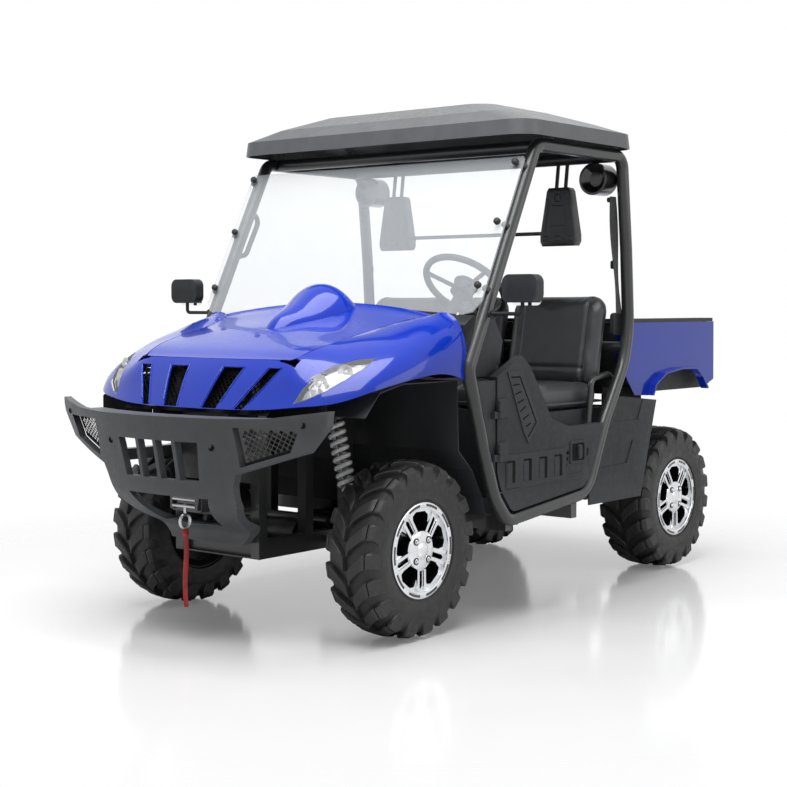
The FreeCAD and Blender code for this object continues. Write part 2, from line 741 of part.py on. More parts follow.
def tie_rods():
    """The rack bar with its tie rods, one straight bar with an eye at each end."""
    level = rod_level()
    end = Vector(mm.kingpin_x, FRONT_AXLE + mm.steer_arm, level)
    other = Vector(-end.x, end.y, end.z)
    rise = Vector(0, 0, mm.rod_eye_height / 2)
    eyes = [rod(place - rise, place + rise, mm.rod_eye_radius) for place in (end, other)]
    solid_part("tie_rods", fused(rod(other, end, mm.rod_radius), *eyes))


def rack_housing():
    """The tube that the rack bar slides in."""
    level = rod_level()
    ends = [Vector(x, FRONT_AXLE + mm.steer_arm, level) for x in (-mm.rack_half, mm.rack_half)]
    return rod(*ends, mm.rack_radius), rod(*ends, mm.rod_radius + mm.seat_gap)


# Where an arm's legs bend towards the ball joint: share of the way out from the bushes, and
# share of the pivots' spacing that is left there. The front legs meet early to clear the rims.
FRONT_KNEE_SHARE = (0.58, 0.1)
REAR_KNEE_SHARE = (0.48, 1)


def knee_share(front):
    return FRONT_KNEE_SHARE if front else REAR_KNEE_SHARE


def wishbone(front, pin_x, axle_y, way):
    """An arm from its ball joint to two bushes; way is 1 for the upper and -1 for the lower."""
    run, spread = knee_share(front)
    rise = mm.upper_pivot_rise if way > 0 else -mm.lower_pivot_drop
    ball = Vector(pin_x, axle_y, mm.tyre_radius + way * mm.kingpin_rise)
    tall = Vector(0, 0, mm.joint_height / 2)
    pieces = [rod(ball - tall, ball + tall, mm.joint_eye)]
    for side in (-1, 1):
        pivot = Vector(PIVOT_X, axle_y + side * mm.arm_spread, mm.tyre_radius + rise)
        half = Vector(0, mm.bush_length / 2, 0)
        knee = Vector(PIVOT_X + (pin_x - PIVOT_X) * run, axle_y + (pivot.y - axle_y) * spread,
                      pivot.z + (ball.z - pivot.z) * run)
        pieces.append(rod(ball, knee, mm.arm_tube))
        pieces.append(Part.makeSphere(mm.arm_tube, knee))
        pieces.append(rod(knee, pivot, mm.arm_tube))
        pieces.append(rod(pivot - half, pivot + half, mm.bush_radius))
    bore = rod(ball - tall * 2, ball + tall * 2, mm.joint_pin + mm.seat_gap)
    return fused(*pieces).cut(bore)


def shock_ends(front):
    """Centres of a shock's upper and lower eyes."""
    if front:
        axle, offset = FRONT_AXLE, -mm.shock_setoff
        top_x, top_z, foot_x = mm.shock_top_x, mm.shock_top_z, mm.shock_foot_x
    else:
        axle, offset = REAR_AXLE, mm.shock_setoff
        top_x, top_z, foot_x = mm.rear_shock_top_x, mm.rear_shock_top_z, mm.rear_shock_foot_x
    top = Vector(top_x, axle + offset, top_z)
    foot = Vector(foot_x, axle + offset, mm.tyre_radius - mm.shock_foot_drop)
    return top, foot


def shock_seat(front, axle_y):
    """The lug and the bridge on the lower arm that carry the shock's eye."""
    foot = shock_ends(front)[1]
    half = mm.eye_radius
    top = foot.z - mm.eye_radius - mm.seat_gap
    leg = knee_share(front)[1] * mm.arm_spread
    reach = sorted((foot.y, axle_y + math.copysign(leg, foot.y - axle_y)))
    return block(foot.x - half, foot.x + half, reach[0] - half, reach[1], top - half, top)


def arms():
    solids = []
    for front, pin_x, axle_y in ((True, mm.kingpin_x, FRONT_AXLE),
                                 (False, mm.carrier_x, REAR_AXLE)):
        for way in (-1, 1):
            arm = wishbone(front, pin_x, axle_y, way)
            if way < 0:
                arm = fused(arm, shock_seat(front, axle_y))
            solids += both(arm)
    solid_part("suspension_arms", *solids)


COIL_START_SHARE = 0.06
COIL_END_SHARE = 0.55
BODY_END_SHARE = 0.4
COIL_STEPS = 14


def spring(rise):
    """A coil of diamond wire that climbs about the Z axis."""
    steps = round(COIL_STEPS * rise / mm.coil_pitch)
    rings = []
    for k in range(steps + 1):
        turn = 2 * math.pi * k / COIL_STEPS
        out = Vector(math.cos(turn), math.sin(turn), 0)
        middle = out * mm.coil_radius + Vector(0, 0, rise * k / steps)
        up = Vector(0, 0, mm.coil_wire)
        rings.append([middle + out * mm.coil_wire, middle + up,
                      middle - out * mm.coil_wire, middle - up])
    faces = [Part.Face(polygon(rings[0])), Part.Face(polygon(rings[-1]))]
    for here, there in zip(rings, rings[1:]):
        for i in range(len(here)):
            j = (i + 1) % len(here)
            faces.append(Part.Face(polygon([here[i], here[j], there[j]])))
            faces.append(Part.Face(polygon([here[i], there[j], there[i]])))
    return closed_solid(faces)


def shock(front):
    """A coil spring over a damper, hung between two eyes."""
    top, foot = shock_ends(front)
    span = (top - foot).Length
    up = Vector(0, 0, 1)
    eyes = [Part.makeCylinder(mm.eye_radius, mm.eye_radius * 2,
                              Vector(0, -mm.eye_radius, rise), Vector(0, 1, 0))
            for rise in (0, span)]
    thin = mm.damper_radius / 2
    rod_solid = rod(Vector(), up * span, thin)
    start = span * (1 - COIL_END_SHARE)
    finish = span * (1 - COIL_START_SHARE)
    tube = rod(Vector(), up * (span * BODY_END_SHARE), mm.damper_radius)
    seat_disc = mm.coil_radius + mm.coil_wire
    lower = rod(up * (start - mm.coil_wire * 3), up * (start - mm.coil_wire), seat_disc)
    upper = rod(up * (finish + mm.coil_wire), up * (finish + mm.coil_wire * 3), seat_disc)
    damper = fused(rod_solid, tube, lower, upper, *eyes)
    coil = spring(finish - start)
    coil.translate(up * start)
    lean = Placement(foot, Rotation(up, top - foot))
    return [shape.transformed(lean.toMatrix(), True) for shape in (damper, coil)]


def shocks():
    dampers, coils = [], []
    for front in (True, False):
        damper, coil = shock(front)
        dampers += both(damper)
        coils += both(coil)
    solid_part("shock_dampers", *dampers)
    solid_part("shock_springs", *coils)


def drive_shafts():
    """Final drives with a shaft and rubber boots to each wheel."""
    solids = []
    for pin_x, axle_y in ((mm.kingpin_x, FRONT_AXLE), (mm.carrier_x, REAR_AXLE)):
        level = mm.tyre_radius
        end = pin_x - mm.knuckle_depth / 2 - mm.joint_gap
        shapes = [rod(Vector(-mm.gear_case_half, axle_y, level),
                      Vector(mm.gear_case_half, axle_y, level), mm.gear_case_radius)]
        shaft = rod(Vector(0, axle_y, level), Vector(end, axle_y, level), mm.shaft_radius)
        inner = Part.makeCone(mm.boot_radius, mm.shaft_radius + mm.coil_wire, mm.boot_length,
                              Vector(mm.gear_case_half, axle_y, level), Vector(1, 0, 0))
        outer = Part.makeCone(mm.boot_radius, mm.shaft_radius + mm.coil_wire, mm.boot_length,
                              Vector(end, axle_y, level), Vector(-1, 0, 0))
        for piece in (shaft, inner, outer):
            shapes += both(piece)
        solids.append(fused(*shapes))
    solid_part("drive_shafts", *solids)


# Chassis frame and cage

CAGE_SHARES = (
    (0.381, 1), (0, 0.406), (0.081, 0.203), (0.144, 0.071), (0.22, 0.002), (0.716, 0.041),
    (0.835, 0.24), (0.973, 0.407), (1, 0.512), (0.981, 0.731), (0.945, 1),
)
CAGE_BEND_SHARES = (0.05, 0.05, 0.2, 0.18, 0.07, 0.11, 0.2, 0.3, 0.35, 0.3, 0.05)
ROOF_FRONT_SHARE = 0.44
ROOF_REAR_SHARE = 0.91
REAR_BAR_SHARES = (0.985, 0.447)
DASH_BAR_SHARES = (0.02, 0.437)
CLAMP_SHARES = (0.33, 0.61, 0.88)


def cab_points(shares, x):
    return side_points(shares, x, (CAB_FRONT, mm.cab_bottom), (mm.cab_length, mm.cab_height))


def cage_wire(x):
    bends = [share * mm.cab_length for share in CAGE_BEND_SHARES]
    return bent_wire(cab_points(CAGE_SHARES, x), bends, True)


def cage_opening(x, room):
    """The area inside a side loop, a room away from the tube's middle line."""
    return Part.Face(cage_wire(x).makeOffset2D(-room))


def pillar(share, x):
    """A place on the front pillar, from its foot to the roof."""
    top, foot = cab_points(CAGE_SHARES[:2], x)
    return foot + (top - foot) * share


def pillar_normal():
    """The way the windshield faces, at right angles to the pillars."""
    top, foot = cab_points(CAGE_SHARES[:2], 0)
    along = (top - foot).normalize()
    return Vector(0, -along.z, along.y)


def cross_tube(share):
    ends = cab_points((share, share), mm.cage_x)
    ends[0].x = -mm.cage_x
    return rod(ends[0], ends[1], mm.cage_tube)


def roll_cage():
    """Two side loops with roof, rear and dash tubes, and the windshield's clamps."""
    loop = piped(cage_wire(mm.cage_x), mm.cage_tube)
    bars = [cross_tube(share) for share in
            ((ROOF_FRONT_SHARE, 1), (ROOF_REAR_SHARE, 1), REAR_BAR_SHARES, DASH_BAR_SHARES)]
    reach = mm.cage_tube + mm.windshield_gap - mm.seat_gap
    clamps = []
    for share in CLAMP_SHARES:
        for side in (-1, 1):
            root = pillar(share, side * mm.cage_x)
            clamps.append(rod(root, root + pillar_normal() * reach, mm.clamp_radius))
    solid_part("roll_cage", fused(loop, mirrored(loop), *bars, *clamps))


# Half of the windshield: share of its half width, share of the way up the pillar.
WINDSHIELD_SHARES = (
    (0, 0.272), (0.14, 0.264), (0.48, 0.236), (0.76, 0.22), (0.9, 0.212), (0.96, 0.224),
    (1, 0.27), (1, 0.9), (0.985, 0.915),
)


def windshield():
    """A flat clear sheet in front of the pillars, cut low round the cowl."""
    half = list(WINDSHIELD_SHARES)
    outline = half + [(-across, rise) for across, rise in reversed(half[1:])]
    out = pillar_normal() * (mm.cage_tube + mm.windshield_gap)
    points = [pillar(rise, across * mm.windshield_half) + out for across, rise in outline]
    solid_part("windshield", plate(points, pillar_normal() * mm.windshield_wall))


def chassis_frame():
    """Two rails with cross members, shock towers, nose posts, bed posts and outriggers."""
    front = mm.rail_front_setback - mm.half_length
    rear = mm.half_length - mm.rail_rear_setback
    low, top = mm.rail_bottom, RAIL_TOP
    half = mm.post_width / 2
    tall = mm.shock_top_z + mm.eye_radius + mm.seat_gap
    shapes = []
    crossings = [front + mm.cross_width, FRONT_AXLE + mm.steer_arm + mm.cross_width * 0.7, CAB_FRONT + mm.cross_width * 3,
                 mm.seat_front + mm.base_length, REAR_AXLE - mm.arm_spread,
                 mm.bed_pivot_y, rear - mm.cross_width / 2]
    for y in crossings:
        shapes.append(block(-mm.rail_x, mm.rail_x, y - mm.cross_width / 2, y + mm.cross_width / 2,
                            low, top))
    side = [block(RAIL_IN, RAIL_OUT, front, rear, low, top)]
    for y in (FRONT_AXLE - mm.arm_spread, FRONT_AXLE + mm.arm_spread):
        side.append(block(RAIL_IN, RAIL_OUT, y - half, y + half, low, tall + mm.pad_thickness))
    for y in (REAR_AXLE - mm.arm_spread, REAR_AXLE + mm.arm_spread):
        high = mm.rear_shock_top_z + mm.eye_radius + mm.seat_gap - mm.post_width
        side.append(block(RAIL_IN, RAIL_OUT, y - half, y + half, low, high))
    shock_y = FRONT_AXLE - mm.shock_setoff
    side.append(block(RAIL_IN, mm.shock_top_x + mm.eye_radius, FRONT_AXLE - mm.arm_spread,
                      shock_y + half, tall, tall + mm.pad_thickness))
    side.append(block(RAIL_IN, RAIL_OUT, front, front + mm.post_width, low, mm.nose_post_top))
    side.append(block(RAIL_IN, RAIL_OUT, mm.bed_pivot_y - half, mm.bed_pivot_y + half, low,
                      mm.bed_pivot_z + half))
    pad_y = mm.bed_front + mm.post_width
    side.append(block(RAIL_IN, RAIL_OUT, pad_y - half, pad_y + half, low,
                      mm.bed_bottom - mm.panel_gap))
    pivot = Vector(0, mm.bed_pivot_y, mm.bed_pivot_z)
    side.append(rod(pivot, pivot + Vector(RAIL_OUT + mm.post_width, 0, 0), mm.pivot_radius))
    floor = mm.floor_level - mm.seat_gap
    inner_tube = mm.cage_x - mm.cage_tube - mm.seat_gap
    sill = cab_points(CAGE_SHARES[4:6], 0)
    for y in (sill[0].y + mm.cross_width, sill[1].y - mm.cross_width):
        side.append(block(RAIL_OUT - mm.seat_gap, inner_tube, y - half, y + half, top - half, floor))
    side.append(block(RAIL_IN, RAIL_OUT, sill[0].y, sill[1].y, low, floor))
    housing, bore = rack_housing()
    shapes += [housing]
    post_y = front + half
    side.append(plate([Vector(RAIL_IN, post_y - half, mm.nose_post_top),
                       Vector(RAIL_IN, mm.hood_pin_y - half / 2, mm.hood_pin_z),
                       Vector(RAIL_IN, mm.hood_pin_y, mm.hood_pin_z + half / 2),
                       Vector(RAIL_IN, mm.hood_pin_y + half / 2, mm.hood_pin_z),
                       Vector(RAIL_IN, post_y + half, mm.nose_post_top)],
                      Vector(mm.post_width, 0, 0)))
    side.append(hood_pin(0))
    bracket_z = mm.bumper_top - mm.bumper_rise / 3
    bracket = block(RAIL_OUT - mm.pad_thickness, RAIL_OUT + mm.pad_thickness * 2,
                    -mm.half_length, front + half, bracket_z - half, bracket_z + half)
    pieces = bracket.cut(skin(bumper_grid(), -mm.bumper_wall - mm.seat_gap)).Solids
    side.append(max(pieces, key=lambda solid: solid.BoundBox.YMax))
    deck = mm.winch_z - mm.winch_radius - mm.seat_gap
    shapes.append(block(-RAIL_IN, RAIL_IN, front, front + mm.cross_width,
                        deck - mm.pad_thickness, deck))
    shapes.append(block(-mm.winch_half, mm.winch_half, front - mm.overrun * 3, front + half,
                        deck - mm.pad_thickness, deck))
    for shape in side:
        shapes += both(shape)
    cuts = [bore]
    for y, cross in ((FRONT_AXLE, crossings[1]), (REAR_AXLE, crossings[4])):
        shapes.append(block(-half, half, *sorted((y, cross)), low + mm.gear_mount, top - mm.gear_mount))
        for reach, radius in ((RAIL_OUT * 2, mm.shaft_radius + mm.panel_gap),
                              (mm.gear_case_half + mm.seat_gap, mm.gear_case_radius + mm.seat_gap)):
            cuts.append(rod(Vector(-reach, y, mm.tyre_radius), Vector(reach, y, mm.tyre_radius),
                            radius))
    frame = fused(*shapes).cut(Part.makeCompound(cuts))
    solid_part("chassis_frame", frame)


TUB_SHARES = (
    (0.962, 0.019), (0.144, 0.019), (0.117, 0.076), (0.064, 0.144), (-0.008, 0.198),
    (-0.017, 0.379),
)


def floor_tub():
    """The floor, its toe board and firewall, bent from one sheet."""
    points = cab_points(TUB_SHARES, -mm.floor_half)
    for point in points[:2]:
        point.z = mm.floor_level
    inner = []
    for i, point in enumerate(points):
        before = points[max(i - 1, 0)]
        after = points[min(i + 1, len(points) - 1)]
        along = (after - before).normalize()
        inner.append(point + Vector(0, along.z, -along.y) * mm.floor_wall)
    tub = plate(points + inner[::-1], Vector(2 * mm.floor_half, 0, 0))
    solid_part("floor_tub", tub)


# Doors and side panels

DOOR_SHARES = (
    (0.284, 0.437), (0.336, 0.406), (0.465, 0.262), (0.584, 0.233), (0.809, 0.235),
    (0.723, 0.098), (0.691, 0.019), (0.212, 0.019), (0.143, 0.107), (0.141, 0.385),
)
KICK_SHARES = ((-0.06, 0.376), (0.2, 0.376), (0.2, -0.03), (-0.06, -0.03))
SIDE_PANEL_SHARES = (
    (0.891, 0.309), (0.939, 0.305), (1.194, 0.286), (1.081, 0.003), (0.717, 0.004),
    (0.716, 0.034), (0.766, 0.133), (0.835, 0.255),
)
VENT_START_SHARE = (0.275, 0.149)
VENT_END_SHARE = (0.575, 0.158)
VENT_DRIFT_SHARE = 0.006
VENT_COUNT = 4
LATCH_SHARES = ((0.672, 0.147), (0.7, 0.147), (0.705, 0.168), (0.677, 0.168))
PANEL_RECESS_SHARES = (
    ((0.931, 0.302), (1.102, 0.301), (1.055, 0.233), (0.884, 0.232)),
    ((0.843, 0.168), (1.02, 0.173), (0.978, 0.108), (0.797, 0.105)),
)


def door_face(x):
    """The door's outline, kept a running gap inside the cage's loop."""
    blank = Part.Face(polygon(cab_points(DOOR_SHARES, x)))
    return blank.common(cage_opening(x, mm.cage_tube + mm.panel_gap)).Faces[0]


def hinge_place(level):
    return Vector(mm.hinge_x, CAB_FRONT + mm.hinge_setback, level)


def hinge_leaf(level, way):
    """Half of a hinge: a barrel above or below the middle, with its strap."""
    middle = hinge_place(level)
    near = middle + Vector(0, 0, way * mm.joint_pin / 6)
    far = middle + Vector(0, 0, way * mm.hinge_height / 2)
    barrel = rod(near, far, mm.hinge_radius)
    heights = sorted((near.z, far.z))
    back = mm.door_outer_x - mm.panel_wall
    edges = sorted((middle.y, middle.y + way * mm.hinge_height * 3 / 5))
    strap = block(back, middle.x, *edges, *heights)
    return fused(barrel, strap)


def vent_slots():
    """Slots through the door's skin, stacked with a little drift."""
    slots = []
    start, end = cab_points((VENT_START_SHARE, VENT_END_SHARE), 0)
    for k in range(VENT_COUNT):
        drift = Vector(0, -k * VENT_DRIFT_SHARE * mm.cab_length, -k * mm.vent_pitch)
        corners = [start + drift, end + drift]
        rise = Vector(0, 0, mm.vent_height)
        outline = [corners[0], corners[1], corners[1] + rise, corners[0] + rise]
        slots.append(plate(outline, Vector(mm.hinge_x, 0, 0)))
    return slots


def door():
    """A moulded door: skin and rim, hollow behind, with vents, latch and hinge leaves."""
    inside = mm.door_outer_x - mm.door_thickness
    face = door_face(inside)
    shell = face.extrude(Vector(mm.door_thickness, 0, 0))
    hollow = face.makeOffset2D(-mm.door_thickness / 2)
    hollow.translate(Vector(-mm.overrun, 0, 0))
    shell = shell.cut(hollow.extrude(Vector(mm.overrun + mm.door_thickness - mm.panel_wall, 0, 0)))
    latch = plate(cab_points(LATCH_SHARES, mm.door_outer_x - mm.panel_wall / 2),
                  Vector(mm.overrun, 0, 0))
    shell = shell.cut(Part.makeCompound(vent_slots() + [latch]))
    leaves = [hinge_leaf(level, 1) for level in (mm.hinge_low_z, mm.hinge_high_z)]
    return fused(shell, *leaves)


def doors():
    left = door()
    solid_part("door_left", left)
    solid_part("door_right", mirrored(left))


def side_panels():
    """Fixed panels ahead of the doors, and panels behind them round the cage's foot."""
    back = mm.panel_outer_x - mm.panel_wall
    wall = Vector(mm.panel_wall, 0, 0)
    seat = math.sqrt(mm.cage_tube ** 2 - (back - mm.cage_x) ** 2) + mm.seat_gap
    kick = Part.Face(polygon(cab_points(KICK_SHARES, back))).common(cage_opening(back, seat))
    kick = kick.cut(door_face(back).makeOffset2D(mm.panel_gap))
    kick_solid = max(kick.Faces, key=lambda face: face.Area).extrude(wall)
    leaves = [hinge_leaf(level, -1) for level in (mm.hinge_low_z, mm.hinge_high_z)]
    loop = piped(cage_wire(mm.cage_x), mm.cage_tube + mm.seat_gap)
    front = fused(kick_solid, *leaves).cut(loop)
    outside = Part.Face(cage_wire(back).makeOffset2D(seat))
    rear = Part.Face(polygon(cab_points(SIDE_PANEL_SHARES, back))).cut(outside)
    rear_solid = max(rear.Faces, key=lambda face: face.Area).extrude(wall)
    for shares in PANEL_RECESS_SHARES:
        recess = plate(cab_points(shares, mm.panel_outer_x - mm.panel_wall / 2), wall)
        rear_solid = rear_solid.cut(recess)
    solid_part("side_panels", *both(front), *both(rear_solid))


# Seats

CUSHION_SHARES = ((0, 0.1), (0, 0.75), (0.08, 1), (0.95, 0.9), (1, 0.7), (1, 0), (0.1, 0))
BACK_OUTLINE_SHARES = ((-0.5, 0), (0.5, 0), (0.5, 0.72), (0.36, 0.95), (0.2, 1), (-0.2, 1),
                       (-0.36, 0.95), (-0.5, 0.72))


def seat_places():
    """Middles and widths of the driver's, the middle and the passenger's seat."""
    return ((mm.cushion_x, mm.cushion_width), (0, mm.middle_width),
            (-mm.cushion_x, mm.cushion_width))


def seats():
    cushions, backs = [], []
    low = mm.cushion_top - mm.cushion_height
    lean = Rotation(Vector(1, 0, 0), -mm.back_lean)
    for middle, width in seat_places():
        profile = [Vector(middle - width / 2, mm.seat_front + run * mm.cushion_length,
                          low + rise * mm.cushion_height) for run, rise in CUSHION_SHARES]
        cushions.append(plate(profile, Vector(width, 0, 0)))
        outline = [Vector(across * width, 0, rise * mm.back_height)
                   for across, rise in BACK_OUTLINE_SHARES]
        back = plate(outline, Vector(0, mm.back_depth, 0))
        foot = Vector(middle, mm.seat_front + mm.cushion_length - mm.back_depth, mm.cushion_top)
        backs.append(back.transformed(Placement(foot, lean).toMatrix()))
    backs = [back.cut(Part.makeCompound(cushions)) for back in backs]
    solid_part("seat_cushions", *cushions)
    solid_part("seat_backs", *backs)


def seat_base():
    """The moulded box under the seats, open below."""
    top = mm.cushion_top - mm.cushion_height - mm.seat_gap
    low = mm.floor_level + mm.floor_wall + mm.seat_gap
    rear = mm.seat_front + mm.base_length
    wall = mm.base_wall
    outer = block(-mm.base_half, mm.base_half, mm.seat_front, rear, low, top)
    inner = block(wall - mm.base_half, mm.base_half - wall, mm.seat_front + wall, rear - wall,
                  low - wall, top - wall)
    solid_part("seat_base", outer.cut(inner))


HEADREST_SHARES = ((-0.5, 0), (0.5, 0), (0.5, 0.16), (0.44, 0.3), (0.3, 0.95), (0.24, 1),
                   (-0.24, 1), (-0.3, 0.95), (-0.44, 0.3), (-0.5, 0.16))


def headrests():
    """Two pads hung from the rear roof tube on rods, with a bar between them."""
    pads = []
    roof = cab_points(((ROOF_REAR_SHARE, 1),), 0)[0]
    for side in (-1, 1):
        outline = [Vector(side * mm.headrest_x + across * mm.headrest_width,
                          mm.headrest_y - mm.headrest_depth / 2,
                          mm.headrest_bottom + rise * mm.headrest_height)
                   for across, rise in HEADREST_SHARES]
        pads.append(plate(outline, Vector(0, mm.headrest_depth, 0)))
    solid_part("headrests", *pads)
    stems = []
    top = mm.headrest_bottom + mm.headrest_height - mm.headrest_rod
    for side in (-1, 1):
        for shift in (-mm.headrest_width / 8, mm.headrest_width / 8):
            x = side * mm.headrest_x + shift
            stems.append(rod(Vector(x, mm.headrest_y, top),
                             Vector(x, roof.y, roof.z - mm.cage_tube / 2), mm.headrest_rod))
    reach = mm.headrest_x - mm.headrest_width / 4
    bar = rod(Vector(-reach, mm.headrest_y, mm.headrest_bottom + mm.headrest_depth),
              Vector(reach, mm.headrest_y, mm.headrest_bottom + mm.headrest_depth),
              mm.headrest_rod)
    tube = rod(Vector(-mm.cage_x, roof.y, roof.z), Vector(mm.cage_x, roof.y, roof.z),
               mm.cage_tube + mm.seat_gap)
    near = [pad.translated(Vector(-side * mm.seat_gap, 0, 0)) for side, pad in zip((-1, 1), pads)]
    over = [pad.translated(Vector(0, 0, mm.seat_gap)) for pad in pads]
    room = Part.makeCompound([tube] + over)
    solid_part("headrest_rods", *[stem.cut(room) for stem in stems],
               bar.cut(Part.makeCompound(pads + near)))


# Steering wheel and controls

def wheel_frame():
    """The steering wheel's place: its own Z is its shaft, up towards the driver."""
    centre = Vector(mm.wheel_centre_x, mm.wheel_centre_y, mm.wheel_centre_z)
    return Placement(centre, Rotation(Vector(1, 0, 0), mm.wheel_tilt - 90))


SPOKE_TURNS = (0, 120, 240)


def steering_wheel():
    grip = Part.makeTorus(mm.wheel_rim_radius, mm.wheel_grip)
    down = Vector(0, 0, -mm.wheel_hub_height)
    hub = rod(down, Vector(0, 0, mm.wheel_grip / 2), mm.wheel_hub_radius)
    spokes = [rod(down / 2, Rotation(Vector(0, 0, 1), turn + 90).multVec(
        Vector(mm.wheel_rim_radius, 0, 0)), mm.wheel_grip * 2 / 3) for turn in SPOKE_TURNS]
    wheel = fused(grip, hub, *spokes).cut(wheel_shaft(mm.seat_gap))
    solid_part("steering_wheel", wheel.transformed(wheel_frame().toMatrix()))


def wheel_shaft(room):
    """The shaft's end in the steering wheel's hub."""
    return rod(Vector(0, 0, -mm.wheel_hub_height - mm.hood_gap * 2),
               Vector(0, 0, room - mm.wheel_hub_height / 2), mm.column_radius / 2 + room)


def steering_column():
    start = -mm.wheel_hub_height - mm.hood_gap
    tube = rod(Vector(0, 0, start), Vector(0, 0, start - mm.column_length), mm.column_radius)
    column = fused(tube, wheel_shaft(0))
    solid_part("steering_column", column.transformed(wheel_frame().toMatrix()))


# Front body

# Rows run from the nose's middle round the corner to the fender's rear, columns from the
# lower edge up to the hood's seam. Shares of body_half, body_run and body_rise.
BODY_GRID_SHARES = (
    ((0, 0, 0), (0, 0.03, 0.107), (0, 0.079, 0.272), (0, 0.155, 0.464)),
    ((0.26, 0.008, 0.003), (0.257, 0.039, 0.11), (0.254, 0.089, 0.275), (0.246, 0.159, 0.464)),
    ((0.499, 0.036, 0.016), (0.484, 0.066, 0.126), (0.462, 0.107, 0.286), (0.434, 0.168, 0.464)),
    ((0.679, 0.082, 0.049), (0.65, 0.105, 0.154), (0.607, 0.134, 0.299), (0.525, 0.186, 0.47)),
    ((0.821, 0.147, 0.08), (0.788, 0.162, 0.19), (0.708, 0.197, 0.341), (0.561, 0.252, 0.522)),
    ((0.913, 0.227, 0.143), (0.884, 0.241, 0.258), (0.78, 0.277, 0.409), (0.585, 0.335, 0.582)),
    ((0.965, 0.335, 0.209), (0.942, 0.349, 0.327), (0.838, 0.384, 0.484), (0.604, 0.425, 0.626)),
    ((0.991, 0.474, 0.264), (0.971, 0.481, 0.39), (0.873, 0.508, 0.571), (0.613, 0.557, 0.687)),
    ((1, 0.64, 0.31), (0.984, 0.647, 0.464), (0.893, 0.668, 0.659), (0.624, 0.709, 0.75)),
    ((1, 0.792, 0.319), (0.987, 0.799, 0.505), (0.91, 0.813, 0.734), (0.658, 0.834, 0.81)),
    ((0.997, 0.917, 0.272), (0.986, 0.924, 0.519), (0.919, 0.931, 0.78), (0.708, 0.931, 0.852)),
    ((0.994, 0.993, 0.223), (0.983, 0.993, 0.505), (0.925, 0.993, 0.813), (0.766, 0.993, 0.885)),
)
# The hood's middle line for the seam rows from the nose corner back: run and rise.
HOOD_MIDDLE_SHARES = (
    (0.162, 0.466), (0.24, 0.527), (0.321, 0.588), (0.418, 0.648), (0.557, 0.731),
    (0.709, 0.802), (0.848, 0.868), (0.959, 0.934), (1.056, 1.01),
)
SEAM_START_ROW = 3
HOOD_COLUMN_SHARES = (-1, -0.75, -0.45, 0, 0.45, 0.75, 1)
SLOT_SHARES = ((0.13, 0.26), (0.43, 0.5))
SLOT_TAPER_SHARE = 0.72
SLOT_BOTTOM_SHARE = 0.02
# The lamp's eye, seen from the front: shares of body_half and body_rise.
LAMP_SHARES = (
    (0.64, 0.075), (0.66, 0.2), (0.7, 0.34), (0.73, 0.41), (0.8, 0.47), (0.87, 0.49),
    (0.875, 0.4), (0.84, 0.3), (0.78, 0.19), (0.7, 0.11),
)


def body_point(share):
    return Vector(share[0] * mm.body_half, NOSE_FOOT + share[1] * mm.body_run,
                  mm.nose_bottom + share[2] * mm.body_rise)


def body_grid():
    half = [[body_point(share) for share in row] for row in BODY_GRID_SHARES]
    other = [[Vector(-point.x, point.y, point.z) for point in row] for row in half[:0:-1]]
    return other + half


def nose_zone(room=0):
    """The block of space that the nose panel fills, and the fenders leave."""
    return block(-mm.nose_half - room, mm.nose_half + room, NOSE_FOOT - mm.overrun * 2,
                 NOSE_FOOT + mm.nose_depth + room, mm.nose_bottom - mm.overrun,
                 mm.nose_bottom + mm.body_rise)


def slot_prism(share, low_room=0):
    """A tall slot that narrows downwards, as a cutting solid along the vehicle."""
    low = mm.nose_bottom + SLOT_BOTTOM_SHARE * mm.slot_height
    top = low + mm.slot_height
    inner, outer = (part * mm.body_half for part in share)
    corners = [(SLOT_TAPER_SHARE * inner, low), (SLOT_TAPER_SHARE * outer, low), (outer, top),
               (inner, top)]
    points = [Vector(x, NOSE_FOOT - mm.overrun * 2, z) for x, z in corners]
    return plate(points, Vector(0, mm.nose_depth + mm.overrun * 2, 0))


def lamp_prism(room=0):
    """The lamp's eye outline as a cutting solid along the vehicle."""
    points = [Vector(across * mm.body_half, NOSE_FOOT, mm.nose_bottom + rise * mm.body_rise)
              for across, rise in LAMP_SHARES]
    face = Part.Face(polygon(points))
    if room:
        face = face.makeOffset2D(room)
    return face.extrude(Vector(0, mm.body_run / 2, 0))


def body_shell(wall):
    return skin(body_grid(), -wall)


def front_body():
    """Nose panel with its slots, fenders with their lamp openings, and the lamps."""
    shell = body_shell(mm.body_wall)
    slots = []
    for share in SLOT_SHARES:
        slots += both(slot_prism(share))
    lamps = both(lamp_prism(mm.seat_gap))
    openings = Part.makeCompound(slots + lamps)
    swing = block(mm.swing_in, mm.swing_out, mm.hood_pin_y - mm.swing_run,
                  mm.hood_pin_y + mm.swing_run, mm.hood_pin_z, mm.nose_bottom + mm.body_rise)
    nose = shell.common(nose_zone()).cut(openings).cut(Part.makeCompound(both(swing)))
    solid_part("nose_panel", nose)
    cage = piped(cage_wire(mm.cage_x), mm.cage_tube + mm.seat_gap)
    bar = cab_points((DASH_BAR_SHARES,), 0)[0]
    cowl = rod(Vector(-mm.body_half, bar.y, bar.z), Vector(mm.body_half, bar.y, bar.z),
               mm.cage_tube + mm.seat_gap)
    rest = shell.cut(nose_zone(mm.seat_gap)).cut(Part.makeCompound(lamps + both(cage) + [cowl]))
    fenders = sorted(rest.Solids, key=lambda solid: solid.Volume)[-2:]
    solid_part("front_fenders", *fenders)
    thick = body_shell(mm.lamp_depth)
    solid_part("headlamps", *[thick.common(prism) for prism in both(lamp_prism())])


